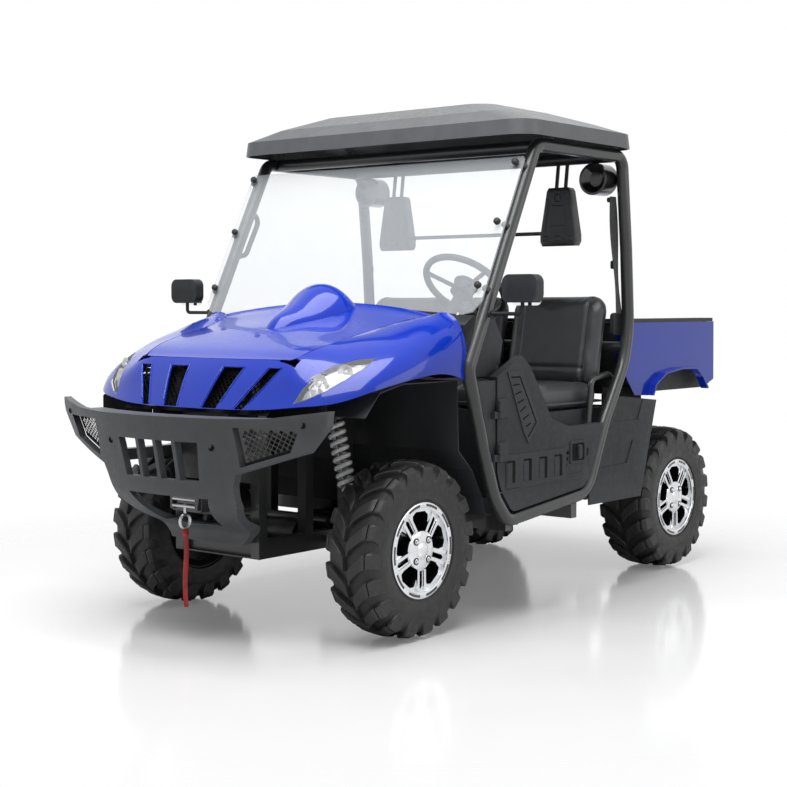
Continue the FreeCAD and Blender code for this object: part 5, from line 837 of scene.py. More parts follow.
class UTV_OT_seats(bpy.types.Operator):
    """Upholster the three seats: cushions and backs with channels and piping."""

    bl_idname = "utv.seats"
    bl_label = "Seats"

    def cushion(self, sizes, width):
        low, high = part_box("seat_cushions")
        depth, height = high.y - low.y - CUSHION_GAP, high.z - low.z
        rows = [(share * height, inset) for share, inset in CUSHION_ROWS]
        mesh = relaxed("cushion", stacked(width - CUSHION_GAP, depth, CUSHION_CORNER, rows,
                                          lambda x, y, rise: (x, y, rise)), sizes)
        sewn(mesh, sizes.channel_depth, 0.8, 0.011, 0.27 * width,
             lambda co: abs(co.y + depth * 0.3), lambda co: max(0, 0.06 - co.z) * 4)
        mesh.transform(shifted(0, (low.y + high.y) / 2, low.z + 0.002))
        return mesh

    def back(self, sizes, width):
        rows = [(share * BACK_THICKNESS, inset) for share, inset in BACK_ROWS]
        mesh = relaxed("back", stacked(
            width - BACK_GAP, BACK_HEIGHT, BACK_CORNER, rows,
            lambda x, y, rise: (x, rise, y + BACK_HEIGHT / 2)), sizes)
        sewn(mesh, sizes.channel_depth, 0.7, 0.009, 0.33 * width,
             lambda co: abs(co.z - BACK_HEIGHT * 0.2), lambda co: max(0, co.y - 0.02) * 4)
        mesh.transform(shifted(0, BACK_FOOT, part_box("seat_backs")[0].z)
                       @ Matrix.Rotation(BACK_LEAN, 4, "X") @ shifted(*BACK_SHIFT))
        return mesh

    def piping(self, sizes, x, width):
        low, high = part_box("seat_cushions")
        outline = round_corners(width + 0.002, high.y - low.y, CUSHION_CORNER, CORNER_STEPS)
        y, z = (low.y + high.y) / 2, low.z + PIPING_RISE
        return tube([Vector((x + px, y + py, z)) for px, py in outline + outline[:1]],
                    sizes.piping, 8)

    def execute(self, context):
        sizes = context.scene.utv_seats
        covers = {}
        for name, x, width in SEATS:
            if width not in covers:
                covers[width] = (self.cushion(sizes, width), self.back(sizes, width))
            for kind, mesh in zip(("cushion", "back"), covers[width]):
                own = mesh.copy()
                own.transform(shifted(x, 0, 0))
                cover = piece(f"{kind}_{name}", own, "vehicle", "seat_vinyl",
                              SHARP_SOFT)
                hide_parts(f"seat_{kind}s")
        piece("seat_piping", [self.piping(sizes, x, width) for _, x, width in SEATS], "vehicle",
              "seat_vinyl")
        return {"FINISHED"}


# A headrest pad's outline: shares of its width from the middle and of its height from its foot.
PAD_OUTLINE = ((-0.5, 0.07), (-0.44, 0.0), (0.44, 0.0), (0.5, 0.07), (0.5, 0.18), (0.32, 0.95),
               (0.27, 1.0), (-0.27, 1.0), (-0.32, 0.95), (-0.5, 0.18))
# Its rings from the front: share of its depth from the middle and share of the outline.
PAD_RINGS = ((-0.5, 0.86), (-0.46, 0.95), (-0.36, 1.0), (0.42, 0.985), (0.5, 0.9))
PAD_MIDDLE, PAD_WIDTH = 0.434, 0.176
PAD_PANEL = ((-0.2, 0.34), (0.2, 0.34), (0.17, 0.7), (-0.17, 0.7))
PAD_SLOTS = ((-0.33, 0.18), (0.0, 0.2), (0.33, 0.18))
# The bars beside the panel: place and lean as shares of the width, ends of the height.
PAD_BAR, PAD_BAR_LEAN, PAD_BAR_ENDS, PAD_BAR_HALF = 0.36, 0.088, (0.24, 0.8), 0.004
PAD_EYE = ((0.013, 0.0), (0.017, 0.0), (0.016, 0.004), (0.014, 0.004))
PAD_SLOT_RISE, PAD_EYE_RISE = 0.13, 0.82
# Height and chamfer of what is raised on a pad's front.
PANEL_RELIEF, SLOT_RELIEF, BAR_RELIEF = (0.006, 0.003), (0.006, 0.002), (0.0055, 0.002)


class UTV_OT_headrests(bpy.types.Operator):
    """Build the hanging headrest pads with their raised panels and slots."""

    bl_idname = "utv.headrests"
    bl_label = "Headrests"

    def relief(self, tall, front):
        """The panel, slots, eye and bars on a pad's front."""
        width = PAD_WIDTH
        made = [slab([(x * width, z * tall) for x, z in PAD_PANEL], *PANEL_RELIEF, front)]
        for x, wide in PAD_SLOTS:
            made.append(pad((wide * width, 0.02, 0.006), *SLOT_RELIEF,
                            front @ shifted(x * width, PAD_SLOT_RISE * tall, 0)))
        made.append(ring_part(PAD_EYE, 28, front @ shifted(0, PAD_EYE_RISE * tall, 0.003)))
        foot, top = (share * tall for share in PAD_BAR_ENDS)
        for side in (-1, 1):
            x, lean = side * PAD_BAR * width, -side * PAD_BAR_LEAN * width
            made.append(slab([(x - PAD_BAR_HALF, foot), (x + PAD_BAR_HALF, foot),
                              (x + PAD_BAR_HALF + lean, top), (x - PAD_BAR_HALF + lean, top)],
                             *BAR_RELIEF, front))
        return made

    def execute(self, context):
        low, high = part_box("headrests")
        y, depth, tall = (low.y + high.y) / 2, high.y - low.y, high.z - low.z
        for side in SIDES:
            x = side * PAD_MIDDLE
            rings = [[Vector((x + px * PAD_WIDTH * inset, y + push * depth,
                              low.z + tall / 2 + (pz - 0.5) * tall * inset))
                      for px, pz in PAD_OUTLINE] for push, inset in PAD_RINGS]
            front = shifted(x, y - depth / 2 + 0.003, low.z) @ \
                Matrix.Rotation(math.pi / 2, 4, "X")
            rest = piece("headrest_" + SIDE_NAMES[side],
                         [loops(rings)] + self.relief(tall, front), "vehicle", "seat_vinyl",
                         40.0)
            soften = rest.modifiers.new("soft edges", "BEVEL")
            soften.width = 0.004
            soften.segments = 2
            soften.limit_method = "ANGLE"
            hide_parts("headrests")
        return {"FINISHED"}


# Where along the vehicle a belt's upper end and its reel are.
BELT_Y = (0.464, 0.519)
BELT_HALF, BELT_THIN = 0.0235, 0.0007
BELT_SLACK, BELT_TWIST = 0.004, 0.22
BELT_STEPS = 24
# How high over the box's foot the reel stands and the belt starts.
REEL_RISE, BELT_RISE = 0.048, 0.09
TONGUE_SHARE = 0.58
# Pads: width, height and corner, then how far each stands out and its chamfer.
REEL, REEL_BACK = ((0.07, 0.092, 0.014), 0.012, 0.004), ((0.068, 0.09, 0.014), 0.012, 0.004)
BELT_LOOP, TONGUE = ((0.06, 0.02, 0.008), 0.006, 0.002), ((0.056, 0.034, 0.008), 0.005, 0.0015)


class UTV_OT_belts(bpy.types.Operator):
    """Hang the seat belts' webbing from its loops, with reels and tongues."""

    bl_idname = "utv.belts"
    bl_label = "Seat belts"

    def belt(self, top, foot, side):
        thin = Vector((side * BELT_THIN, 0, 0))
        rings = []
        for k in range(BELT_STEPS + 1):
            share = k / BELT_STEPS
            turn = BELT_TWIST * math.sin(FULL_TURN * share)
            way = Vector((side * math.sin(turn), math.cos(turn), 0)) * BELT_HALF
            point = top.lerp(foot, share)
            point.x -= side * BELT_SLACK * math.sin(math.pi * share)
            rings.append([point - way - thin, point + way - thin, point + way + thin,
                          point - way + thin])
        return loops(rings)

    def execute(self, context):
        low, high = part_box("seat_belts")
        cloth, hard = [], []
        for side in SIDES:
            inward = (-side, 0, 0)
            x = side * (high.x - 0.002)
            top = Vector((x, BELT_Y[0], high.z))
            foot = Vector((x, BELT_Y[1], low.z + BELT_RISE))
            reel = (x - side * 0.012, BELT_Y[1], low.z + REEL_RISE)
            cloth.append(self.belt(top, foot, side))
            hard += [
                pad(*REEL, facing(reel, (side, 0, 0))), pad(*REEL_BACK, facing(reel, inward)),
                pad(*BELT_LOOP, facing(top + Vector((-side * 0.006, 0, -0.014)), inward)),
                pad(*TONGUE, facing(top.lerp(foot, TONGUE_SHARE)
                                    + Vector((-side * 0.008, 0, 0)), inward))]
        band = piece("belt_webbing", cloth, "vehicle", "belt_webbing")
        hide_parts("seat_belts")
        piece("belt_reels", hard, "vehicle", "moulded_black")
        return {"FINISHED"}


STRAP_STEPS, STRAP_ACROSS, STRAP_THICKNESS = 48, 6, 0.0014
# How far the strap turns on its way down; its waver, sway and curl with their waves.
STRAP_TURN, STRAP_WAVER, STRAP_SWAY, STRAP_CURL = 1.1, (0.25, 5.0), (0.0035, 7.0), (0.0016, 4)
STRAP_NARROW, STRAP_DEEP = 0.98, 0.35
STRAP_LOOP = ((0.0058, -0.011), (0.0085, -0.009), (0.009, 0.009), (0.0058, 0.011))


class UTV_OT_strap(bpy.types.Operator):
    """Hang the red strap from the winch's hook."""

    bl_idname = "utv.strap"
    bl_label = "Hook strap"

    def execute(self, context):
        low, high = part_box("winch_strap")
        length = high.z - low.z
        half = (high.x - low.x) / 2 - 0.001
        y = (low.y + high.y) / 2
        rows = []
        for k in range(STRAP_STEPS + 1):
            share = k / STRAP_STEPS
            waver, sway, curl = (size * math.sin(waves * share) for size, waves in
                                 (STRAP_WAVER, STRAP_SWAY, STRAP_CURL))
            turn = STRAP_TURN * share * share + waver
            row = []
            for i in range(STRAP_ACROSS + 1):
                side = (i / STRAP_ACROSS - 0.5) * 2
                out = side * half
                row.append(Vector((
                    out * math.cos(turn) * STRAP_NARROW,
                    y + out * math.sin(turn) * STRAP_DEEP + sway + curl * side * side,
                    high.z - share * length)))
            rows.append(row)
        made = piece("hook_strap", [loops(rows, closed=False, caps=False)], "vehicle",
                     "red_webbing", SHARP_SOFT)
        wall = made.modifiers.new("thickness", "SOLIDIFY")
        wall.thickness = STRAP_THICKNESS
        wall.offset = 0
        made.data = evaluated(made)
        made.modifiers.clear()
        made.data.name = "hook_strap"
        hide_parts("winch_strap")
        knot = [ring_part(STRAP_LOOP, 20, facing((0, y, high.z + 0.004 * k - 0.012),
                                                 (1, 0.1 * k, 0))) for k in range(3)]
        piece("strap_loop", knot, "vehicle", "red_webbing", SHARP_SOFT)
        return {"FINISHED"}


# A lens face whose normal leans forwards and outwards past these is on its outside.
LENS_FRONT, LENS_OUT = -0.25, 0.05
BOWL_SHARE, BOWL_DEPTH = 0.95, 0.016
LAMP_RIM, LAMP_RIM_LIFT, SHORT_EDGE = 0.0042, 0.006, 0.0005
# The left lamp's two reflectors, each with its place and radius; their shape and the bulb's.
REFLECTORS = (((0.492, -1.14, 0.9), 0.033), ((0.548, -1.06, 0.935), 0.026))
REFLECTOR = ((0.3, 0.0), (1, 0.012), (1.06, 0.012), (1.02, 0.006), (0.4, -0.004))
BULB = ((0.34, 0), (0.36, 0.006), (0.22, 0.011), (0.02, 0.0125))
REFLECTOR_IN = 0.004
# A tail lamp's bars: how far up they lie, their pad, and how far in they and the screws are.
TAIL_BARS, TAIL_BAR = (0.33, 0.66), ((0.03, 0.004, 0.0015), 0.0025, 0.0008)
TAIL_IN, SCREW_IN, SCREW_RADIUS = 0.016, 0.008, 0.0025


class UTV_OT_lamps(bpy.types.Operator):
    """Fill the headlamps with reflectors, bulbs and black bezels deepened to painted shade, and
    detail the tail lamps.
    """

    bl_idname = "utv.lamps"
    bl_label = "Lamps"

    def outside(self, lens, side):
        """The outer skin of one lens, with the points that its faces share merged."""
        points, faces, seen = [], [], {}
        for face in lens.polygons:
            centre, normal = face.center, face.normal
            if centre.x * side < 0 or normal.y > LENS_FRONT or normal.x * side < LENS_OUT:
                continue
            corners = []
            for index in face.vertices:
                co = lens.vertices[index].co
                key = tuple(round(part, 5) for part in co)
                if key not in seen:
                    seen[key] = len(points)
                    points.append(co.copy())
                corners.append(seen[key])
            faces.append(tuple(corners))
        return points, faces

    def rim(self, shell, faces, inward):
        """Tubes along the edges that only one face has: a near-black rim of painted shade round
        the bowl.
        """
        count = {}
        for face in faces:
            for edge in zip(face, face[1:] + face[:1]):
                key = tuple(sorted(edge))
                count[key] = count.get(key, 0) + 1
        lift = inward * LAMP_RIM_LIFT
        return [tube([shell[a] - lift, shell[b] - lift], LAMP_RIM, 8)
                for (a, b), times in count.items()
                if times == 1 and (shell[a] - shell[b]).length > SHORT_EDGE]

    def bulbs(self, shell, inward, side):
        made = []
        for (x, y, z), radius in REFLECTORS:
            spot = Vector((side * x, y, z))
            nearest = min(shell, key=lambda point: (point - spot).length)
            place = facing(nearest + inward * REFLECTOR_IN, (side * 0.35, -0.9, 0.15))
            made.append(ring_part(widened(REFLECTOR, radius), 40, place))
            made.append(turned(widened(BULB, radius), 24, place))
        return made

    def execute(self, context):
        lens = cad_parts["headlamps"].data
        for side in SIDES:
            name = SIDE_NAMES[side]
            points, faces = self.outside(lens, side)
            middle = sum(points, Vector()) / len(points)
            inward = Vector((-side * 0.5, 0.8, -0.33)).normalized()
            shell = [middle + (point - middle) * BOWL_SHARE + inward * BOWL_DEPTH
                     for point in points]
            piece("lamp_bowl_" + name, [(shell, faces)], "vehicle", "lamp_chrome", 20.0)
            # The bowl's black bezel, near-black as painted shade along its edge.
            piece("lamp_rim_shade_" + name, self.rim(shell, faces, inward), "vehicle", "painted_shade_black")
            piece("lamp_bulbs_" + name, self.bulbs(shell, inward, side), "vehicle",
                  "bright_steel")
        low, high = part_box("tail_lamps")
        bars = []
        for side in SIDES:
            x = side * (high.x - TAIL_IN)
            for share in TAIL_BARS:
                z = low.z + (high.z - low.z) * share
                bars.append(pad(*TAIL_BAR, facing((x, high.y, z), BACKWARD)))
            for z in (low.z + SCREW_IN, high.z - SCREW_IN):
                bars += bolt((x, high.y, z), BACKWARD, SCREW_RADIUS)
        piece("tail_lamp_bars", bars, "bed", "bright_steel")
        return {"FINISHED"}


DASH_FACE = Vector((0, 0.86, 0.5)).normalized()
DASH_Y, DIAL_Z, SWITCH_Z = -0.318, 1.062, 1.045
# The dials: place across and radius; their shape, their ring's, and their marks and needle.
DIALS = ((0.38, 0.05), (0.29, 0.026), (0.47, 0.026))
DIAL = ((1, -0.02), (1, 0.004), (0.93, 0.004), (0.92, 0.001), (0.02, 0.001))
DIAL_RING = ((0.97, 0.002), (1.08, 0.0), (1.06, 0.007), (0.98, 0.008))
DIAL_MARKS, DIAL_START, DIAL_SWEEP, NEEDLE_TURN = 11, -30, 240, 200
MARK_START, MARK_END, NEEDLE_END = 0.72, 0.88, 0.66
WHEEL_MIDDLE = Vector((0.38, -0.165, 1.245))
SHAFT_WAY = Vector((0, 0.6756, 0.7373))
WHEEL_CAP = ((0.05, 0.0), (0.05, 0.006), (0.044, 0.012), (0.03, 0.0155), (0.001, 0.0168))
WHEEL_CAP_RING = ((0.033, 0.012), (0.036, 0.0135), (0.036, 0.0155), (0.033, 0.0158))
CAP_LIFT = 0.0062
SWITCHES = (0.14, 0.19, 0.56)
SWITCH_PLATE = ((0.026, 0.042, 0.004), 0.006, 0.002)
SWITCH_KEY = ((0.018, 0.032, 0.003), 0.011, 0.003)


class UTV_OT_cab(bpy.types.Operator):
    """Fit the dashboard's dials and switches and the steering wheel's cap."""

    bl_idname = "utv.cab"
    bl_label = "Cab"

    def execute(self, context):
        dials, marks, bright, switches = [], [], [], []
        for x, radius in DIALS:
            place = facing((x, DASH_Y, DIAL_Z), DASH_FACE)
            dials.append(turned(widened(DIAL, radius), 48, place))
            bright.append(ring_part(widened(DIAL_RING, radius), 56, place))
            near, far, tip = (radius * share for share in (MARK_START, MARK_END, NEEDLE_END))
            for k in range(DIAL_MARKS):
                turn = math.radians(DIAL_START + DIAL_SWEEP * k / (DIAL_MARKS - 1))
                marks.append(slab([(near, -0.0009), (far, -0.0009), (far, 0.0009),
                                   (near, 0.0009)], 0.0016, 0.0003,
                                  place @ Matrix.Rotation(turn, 4, "Z")))
            marks.append(slab([(-0.004, -0.0012), (tip, -0.0005), (tip, 0.0005),
                               (-0.004, 0.0012)], 0.0028, 0.0004,
                              place @ Matrix.Rotation(math.radians(NEEDLE_TURN), 4, "Z")))
        for x in SWITCHES:
            place = facing((x, DASH_Y, SWITCH_Z), DASH_FACE)
            switches += [pad(*SWITCH_PLATE, place), pad(*SWITCH_KEY, place)]
        cap = facing(WHEEL_MIDDLE + SHAFT_WAY * CAP_LIFT, SHAFT_WAY)
        piece("wheel_cap", [turned(WHEEL_CAP, 48, cap), ring_part(WHEEL_CAP_RING, 48, cap)],
              "steering_wheel_body", "moulded_black")
        piece("dial_bodies", dials, "vehicle", "dial_face")
        piece("dial_marks", marks, "vehicle", "dial_mark")
        piece("dial_rings", bright, "vehicle", "bright_steel")
        piece("switches", switches, "vehicle", "gloss_black")
        return {"FINISHED"}


# The front pillar's outer line, from its foot to the roof, and where the screen's knobs sit.
PILLAR = (Vector((0.69, -0.571, 0.942)), Vector((0.69, -0.145, 1.775)))
KNOB_SHARES = (0.33, 0.61, 0.88)
KNOB_SHIFT = Vector((-0.02, -0.052, 0.028))
KNOB = ((0.013, -0.004), (0.013, 0.008), (0.009, 0.013), (0.002, 0.015))
SCREEN_WAY = (0, -0.89, 0.455)
# How far down a mirror's head is measured and its pane lies; the pane's share of its width.
HEAD_DEPTH, PANE_DROP, PANE_SHARE, PANE_HEIGHT = 0.06, 0.065, 0.84, 0.09


class UTV_OT_fasteners(bpy.types.Operator):
    """Screw the windshield on with its knobs, and glaze the mirrors."""

    bl_idname = "utv.fasteners"
    bl_label = "Fasteners"

    def execute(self, context):
        heads = []
        for share in KNOB_SHARES:
            for side in SIDES:
                spot = PILLAR[0].lerp(PILLAR[1], share) + KNOB_SHIFT
                spot.x *= side
                heads.append(turned(KNOB, 20, facing(spot, SCREEN_WAY)))
        piece("screen_knobs", heads, "vehicle", "grip_rubber")
        panes = []
        points = [vertex.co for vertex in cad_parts["side_mirrors"].data.vertices]
        top = max(co.z for co in points)
        for side in SIDES:
            head = [co.x for co in points if co.x * side > 0 and co.z > top - HEAD_DEPTH]
            near, far = min(head), max(head)
            spot = touch("side_mirrors", ((near + far) / 2, FAR, top - PANE_DROP), FORWARD)
            panes.append(pad(((far - near) * PANE_SHARE, PANE_HEIGHT, 0.016), 0.0025, 0.001,
                             facing(spot, BACKWARD)))
        piece("mirror_panes", panes, "vehicle", "mirror_glass")
        return {"FINISHED"}


# The doors' shapes, as (distance back, height) on the side plane.
# The louvre's edge lines and slits are near-black strips: painted shade in its grooves.
LOUVRE_CORNERS = ((-0.329, 0.908), (-0.272, 0.908), (-0.163, 0.733), (-0.217, 0.681))
LOUVRE_SLITS = (((-0.318, 0.878), (-0.276, 0.881)), ((-0.302, 0.845), (-0.264, 0.853)),
                ((-0.288, 0.811), (-0.247, 0.823)), ((-0.27, 0.779), (-0.233, 0.797)),
                ((-0.252, 0.749), (-0.214, 0.765)), ((-0.234, 0.72), (-0.2, 0.733)))
LOUVRE_PANEL = ((-0.352, 0.93), (-0.258, 0.93), (-0.142, 0.735), (-0.212, 0.655),
                (-0.245, 0.70))
LINE_HEIGHT, LINE_CHAMFER = 0.0048, 0.0003
HINGES = ((-0.384, 0.795), (-0.384, 0.636))
HINGE_COVER = ((0.062, 0.072, 0.01), 0.013, 0.005)
# The four pockets: where each is, its near-black back with the slit over it, and its raised
# front. The near-black backs and slits are painted shade inside the pockets.
POCKETS = (-0.3, -0.191, -0.085, 0.02)
POCKET_HEIGHT = 0.0038
POCKET_BACK = ((0.017, 0.082, 0.003), POCKET_HEIGHT, LINE_CHAMFER)
POCKET_FRONT = ((0.034, 0.07, 0.004), 0.0046, 0.0018)
# The latch's plate, recess and handle: place, size, height and chamfer. The recess is a
# near-black pad of painted shade.
LATCH_PLATE = ((0.135, 0.6), (0.112, 0.09, 0.01), 0.0045, 0.002)
LATCH_RECESS = ((0.135, 0.6), (0.088, 0.068, 0.006), 0.0052, LINE_CHAMFER)
LATCH_HANDLE = ((0.142, 0.6), (0.026, 0.056, 0.006), 0.012, 0.004)
POCKET_PANEL = ((-0.153, 0.56), (0.412, 0.126, 0.008), 0.003, 0.002)
RIDGE = ((-0.405, 0.487), (-0.1, 0.502), (0.18, 0.516))


class UTV_OT_doors(bpy.types.Operator):
    """Raise the doors' hinge covers, louvre, pockets, latch and ridge."""

    bl_idname = "utv.doors"
    bl_label = "Doors"

    def execute(self, context):
        for side in SIDES:
            name = SIDE_NAMES[side]
            place = side_place(touch("door_" + name, (side, -0.2, 0.68), (-side, 0, 0)).x, side)

            def on_door(spot, size, height, chamfer):
                return pad(size, height, chamfer, place @ shifted(*spot, 0))

            raised = [on_door(spot, *HINGE_COVER) for spot in HINGES]
            raised.append(slab(LOUVRE_PANEL, 0.004, 0.003, place))
            # Near-black strips and pads: painted shade in the louvre's grooves, the pockets and
            # the latch's recess.
            shade_parts = [slab(strip(start, end, width), LINE_HEIGHT, LINE_CHAMFER, place)
                    for lines, width in ((zip(LOUVRE_CORNERS, LOUVRE_CORNERS[1:]), 0.0055),
                                         (LOUVRE_SLITS, 0.005)) for start, end in lines]
            raised.append(on_door(*POCKET_PANEL))
            for y in POCKETS:
                shade_parts.append(on_door((y - 0.0085, 0.558), *POCKET_BACK))
                shade_parts.append(slab(strip((y - 0.054, 0.596), (y - 0.012, 0.597), 0.007),
                                 POCKET_HEIGHT, LINE_CHAMFER, place))
                raised.append(on_door((y - 0.037, 0.553), *POCKET_FRONT))
            raised += [on_door(*LATCH_PLATE), on_door(*LATCH_HANDLE)]
            shade_parts.append(on_door(*LATCH_RECESS))
            raised.append(tube(placed([(y, z, 0.0005) for y, z in RIDGE], place), 0.0035, 10))
            piece("door_trim_" + name, raised, f"door_{name}_body", "moulded_black")
            piece("door_shade_strips_" + name, shade_parts, f"door_{name}_body", "painted_shade_black")
        return {"FINISHED"}


# The bumper's sunk bolts, near-black as painted shade in their sockets: place across, height and
# radius; and their shape.
SUNK_BOLTS = ((0.25, 0.7, 0.0095), (0.578, 0.784, 0.0085))
SUNK_BOLT = ((1.25, -0.002), (1.25, 0.001), (1, 0.0022), (0.8, 0.0004), (0.3, 0.0004))
# The nose's slots: where each starts and ends across at its top, and the shares at its foot.
NOSE_SLOTS = ((0.09, 0.18), (0.2976, 0.346))
SLOT_FOOT, SLOT_EDGE = 0.72, 0.006
SLOT_LOW, SLOT_TOP = 0.823, 0.9595
SLOT_STEPS = 8
# The winch's rollers: heights, ends and radius; and the fairlead that holds them.
ROLLERS, ROLLER_ENDS, ROLLER_RADIUS = (0.498, 0.474), (-0.052, 0.062), 0.0062
FAIRLEAD_ENDS, FAIRLEAD_END = (-0.058, 0.068), ((0.012, 0.05, 0.004), 0.014, 0.003)
FAIRLEAD_PLATE = ((0.15, 0.062, 0.01), 0.004, 0.0015)
SURROUND = 0.0028
# Near-black sheets of painted shade behind the nose, where the slots would show the backdrop:
# place, width, height and corner.
SHADE_SHEETS = (((0, -1.04, 0.925), (0.62, 0.12, 0.01)), ((0, -1.034, 0.92), (0.84, 0.075, 0.01)),
          ((0.425, -1.18, 0.79), (0.27, 0.1, 0.01)), ((-0.425, -1.18, 0.79), (0.27, 0.1, 0.01)))
# A near-black sheet of painted shade by the wheel arch on either side.
ARCH_SHADE_SHEET = ((0.468, 0.66), (0.79, 0.66), (0.79, 0.835), (0.468, 0.835))
ARCH_SHADE_SHEET_X = 0.613
SHADE_SHEET_HEIGHT, SHADE_SHEET_CHAMFER = 0.003, 0.001


class UTV_OT_front_trim(bpy.types.Operator):
    """Sink the bumper's bolts, edge the nose's slots, and add the fairlead and near-black sheets
    of painted shade.
    """

    bl_idname = "utv.front_trim"
    bl_label = "Front trim"

    def surround(self, inner, outer, side):
        corners = [(inner * SLOT_FOOT - SLOT_EDGE, SLOT_LOW), (inner - SLOT_EDGE, SLOT_TOP),
                   (outer + SLOT_EDGE, SLOT_TOP), (outer * SLOT_FOOT + SLOT_EDGE, SLOT_LOW)]
        path = []
        for start, end in zip(corners, corners[1:]):
            for k in range(SLOT_STEPS):
                x, z = Vector(start).lerp(Vector(end), k / SLOT_STEPS)
                path.append(touch("nose_panel", (side * x, -FAR, z), BACKWARD))
        return tube(path, SURROUND, 8)

    def execute(self, context):
        # Near-black cups: painted shade round the sunk bolts.
        sunk = []
        for x, z, radius in SUNK_BOLTS:
            for side in SIDES:
                spot = touch("front_bumper", (side * x, -FAR, z), BACKWARD)
                sunk.append(turned(widened(SUNK_BOLT, radius), 24, facing(spot, FORWARD)))
        piece("bumper_bolt_shade", sunk, "vehicle", "painted_shade_black")
        piece("slot_surrounds", [self.surround(inner, outer, side)
                                 for inner, outer in NOSE_SLOTS for side in SIDES],
              "vehicle", "body_blue")
        rollers = [tube([Vector((x, -1.302, z)) for x in ROLLER_ENDS], ROLLER_RADIUS, 16)
                   for z in ROLLERS]
        piece("winch_rollers", rollers, "vehicle", "bright_steel")
        plate = [pad(*FAIRLEAD_END, facing((x, -1.292, 0.486), FORWARD))
                 for x in FAIRLEAD_ENDS]
        plate.append(pad(*FAIRLEAD_PLATE, facing((0.005, -1.29, 0.486), FORWARD)))
        piece("winch_fairlead", plate, "vehicle", "gloss_black")
        # Near-black sheets where only shade would be: painted shade.
        shade_sheets = [slab(ARCH_SHADE_SHEET, SHADE_SHEET_HEIGHT, SHADE_SHEET_CHAMFER,
                       side_place(side * ARCH_SHADE_SHEET_X, side)) for side in SIDES]
        shade_sheets += [pad(size, SHADE_SHEET_HEIGHT, SHADE_SHEET_CHAMFER, facing(spot, FORWARD))
                   for spot, size in SHADE_SHEETS]
        piece("painted_shade_sheets", shade_sheets, "vehicle", "painted_shade_black")
        return {"FINISHED"}


SPRING_WIRE, SPRING_TURNS, TURN_STEPS = 0.009, 8.5, 22
# The front springs lie ahead of this place, and the axis settles in this many rounds.
SPRING_SPLIT, AXIS_ROUNDS = 0.2, 12


class UTV_OT_springs(bpy.types.Operator):
    """Wind the four coil springs in the frame's places."""

    bl_idname = "utv.springs"
    bl_label = "Springs"

    def coil(self, own):
        """A coil along the longest way through the points of a plain spring."""
        middle = sum(own, Vector()) / len(own)
        arms = [co - middle for co in own]
        way = UP.copy()
        for _ in range(AXIS_ROUNDS):
            way = sum((arm * arm.dot(way) for arm in arms), Vector()).normalized()
        reach = [arm.dot(way) for arm in arms]
        radius = max((arm - way * arm.dot(way)).length for arm in arms) - SPRING_WIRE
        start = min(reach) + SPRING_WIRE
        length = max(reach) - min(reach) - 2 * SPRING_WIRE
        steps = int(SPRING_TURNS * TURN_STEPS)
        return tube(placed([polar(radius, FULL_TURN * SPRING_TURNS * k / steps,
                                  start + length * k / steps) for k in range(steps + 1)],
                           facing(middle, way)), SPRING_WIRE, 10)

    def execute(self, context):
        points = [vertex.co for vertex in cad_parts["shock_springs"].data.vertices]
        coils = [self.coil([co for co in points
                            if co.x * side > 0 and (co.y < SPRING_SPLIT) == ahead])
                 for side in SIDES for ahead in (True, False)]
        made = piece("coil_springs", coils, "vehicle", "spring_white", SHARP_SOFT)
        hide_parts("shock_springs")
        return {"FINISHED"}


FLOOR_STEPS, FLOOR_DROP, FLOOR_HOLE = 96, 0.0005, 0.0005
# Where the floor starts to fade and where it ends, as shares of its radius.
FLOOR_FADE = (0.165, 0.34)
FLOOR_TONES = ((0.83, 0.83, 0.835), (0.86, 0.86, 0.862))
FLOOR_GRAIN, FLOOR_LIFT = 3.0, 0.12


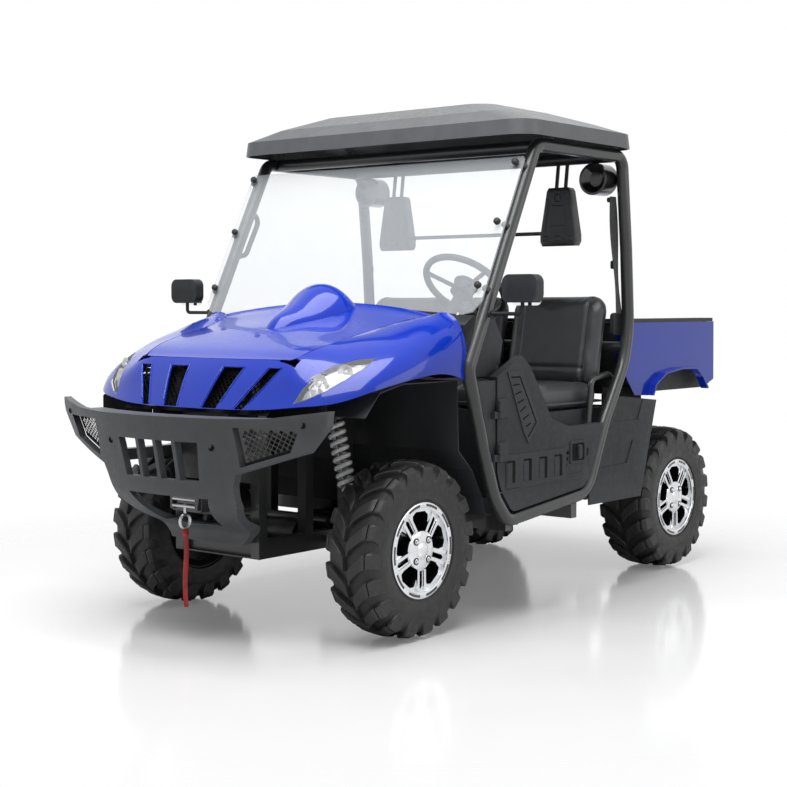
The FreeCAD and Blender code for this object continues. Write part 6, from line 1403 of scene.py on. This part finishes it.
class UTV_OT_stage(bpy.types.Operator):
    """Lay the pale floor, light it softly and set the camera."""

    bl_idname = "utv.stage"
    bl_label = "Stage"

    def floor(self, sizes):
        rings = [[polar(radius, turn) for turn in turns(FLOOR_STEPS)]
                 for radius in (sizes.floor_radius, sizes.floor_radius / 2, FLOOR_HOLE)]
        mesh = mesh_of("floor", [loops(rings, caps=False)])
        floor = bpy.data.objects.new("floor", mesh)
        bpy.context.scene.collection.objects.link(floor)
        floor.location.z = -FLOOR_DROP
        nodes = Nodes("pale_floor")
        shader = nodes.shader
        shade = nodes.blended(nodes.spread(nodes.noise(FLOOR_GRAIN), 0, 1), *FLOOR_TONES)
        nodes.link(shade, shader.inputs["Base Color"])
        nodes.set(Roughness=0.13, Specular_IOR_Level=0.4, Emission_Color=(1, 1, 1, 1))
        seen = nodes.add("ShaderNodeLightPath").outputs["Is Camera Ray"]
        nodes.link(nodes.spread(seen, 0.0, FLOOR_LIFT, 0.0, 1.0),
                   shader.inputs["Emission Strength"])
        length = nodes.add("ShaderNodeVectorMath", operation="LENGTH")
        nodes.link(nodes.place, length.inputs[0])
        mix = nodes.add("ShaderNodeMixShader")
        fade = nodes.spread(length.outputs["Value"], 0.0, 1.0,
                            *(sizes.floor_radius * share for share in FLOOR_FADE))
        clear = nodes.add("ShaderNodeBsdfTransparent")
        for output, socket in zip((fade, shader.outputs[0], clear.outputs[0]), mix.inputs):
            nodes.link(output, socket)
        nodes.link(mix.outputs[0], nodes.tree.nodes["Material Output"].inputs["Surface"])
        mesh.materials.append(nodes.material)

    def sky(self, sizes):
        world = bpy.data.worlds.new("studio")
        world.use_nodes = True
        bpy.context.scene.world = world
        nodes = Tree(world.node_tree)
        ground = nodes.tree.nodes["Background"]
        ground.inputs["Color"].default_value = (1, 1, 1, 1)
        path = nodes.add("ShaderNodeLightPath").outputs
        seen = nodes.larger(path["Is Camera Ray"], path["Is Transmission Ray"])
        seen = nodes.larger(seen, path["Is Glossy Ray"])
        nodes.link(nodes.spread(seen, sizes.world_strength, 1.0, 0.0, 1.0),
                   ground.inputs["Strength"])

    def lamp(self, name, place, target, size, power):
        light = bpy.data.lights.new(name, "AREA")
        light.shape = "RECTANGLE"
        light.size, light.size_y = size
        light.energy = power
        made = bpy.data.objects.new(name, light)
        bpy.context.scene.collection.objects.link(made)
        made.location = place
        way = Vector(target) - Vector(place)
        made.rotation_euler = way.to_track_quat("-Z", "Y").to_euler()

    def camera(self, sizes):
        scene = bpy.context.scene
        camera = bpy.data.cameras.new("camera")
        camera.sensor_width = 36.0
        camera.lens = sizes.lens
        camera.clip_end = 200.0
        made = bpy.data.objects.new("camera", camera)
        scene.collection.objects.link(made)
        made.location = sizes.camera_place
        made.rotation_euler = (math.pi / 2 - sizes.camera_dip, 0, sizes.camera_turn)
        scene.camera = made

    def execute(self, context):
        sizes = context.scene.utv_stage
        self.floor(sizes)
        self.sky(sizes)
        self.lamp("key_lamp", (0.8, -1.6, 5.2), (0, 0, 0.6), (3.6, 4.6), sizes.key_power)
        self.lamp("side_lamp", (5.2, 1.5, 2.6), (0, 0.2, 0.7), (4.0, 2.4), sizes.side_power)
        self.camera(sizes)
        context.scene.view_settings.view_transform = "Standard"
        return {"FINISHED"}


OPERATORS = (UTV_OT_finishes, UTV_OT_tyres, UTV_OT_wheel_trim, UTV_OT_seats, UTV_OT_headrests,
             UTV_OT_belts, UTV_OT_strap, UTV_OT_lamps, UTV_OT_cab, UTV_OT_fasteners,
             UTV_OT_doors, UTV_OT_front_trim, UTV_OT_springs, UTV_OT_stage)
GROUPS = (("utv_looks", VehicleLooks), ("utv_tyres", TyreSizes), ("utv_seats", SeatSizes),
          ("utv_stage", StageSizes))


class UTV_PT_vehicle(bpy.types.Panel):
    """The vehicle's sizes and colours, with a button for each group of pieces."""

    bl_label = "Side by Side Vehicle"
    bl_idname = "UTV_PT_vehicle"
    bl_space_type = "VIEW_3D"
    bl_region_type = "UI"
    bl_category = "Vehicle"

    def draw(self, context):
        for name, group in GROUPS:
            box = self.layout.box()
            for size in group.__annotations__:
                box.prop(getattr(context.scene, name), size)
        for operator in OPERATORS:
            self.layout.operator(operator.bl_idname)


def register():
    for name, group in GROUPS:
        bpy.utils.register_class(group)
        setattr(bpy.types.Scene, name, bpy.props.PointerProperty(type=group))
    for kind in OPERATORS + (UTV_PT_vehicle,):
        bpy.utils.register_class(kind)


def unregister():
    for kind in (UTV_PT_vehicle,) + OPERATORS[::-1]:
        bpy.utils.unregister_class(kind)
    for name, group in reversed(GROUPS):
        delattr(bpy.types.Scene, name)
        bpy.utils.unregister_class(group)


def main():
    register()
    for operator in OPERATORS:
        group, name = operator.bl_idname.split(".")
        getattr(getattr(bpy.ops, group), name)()


if __name__ == "__main__":
    main()
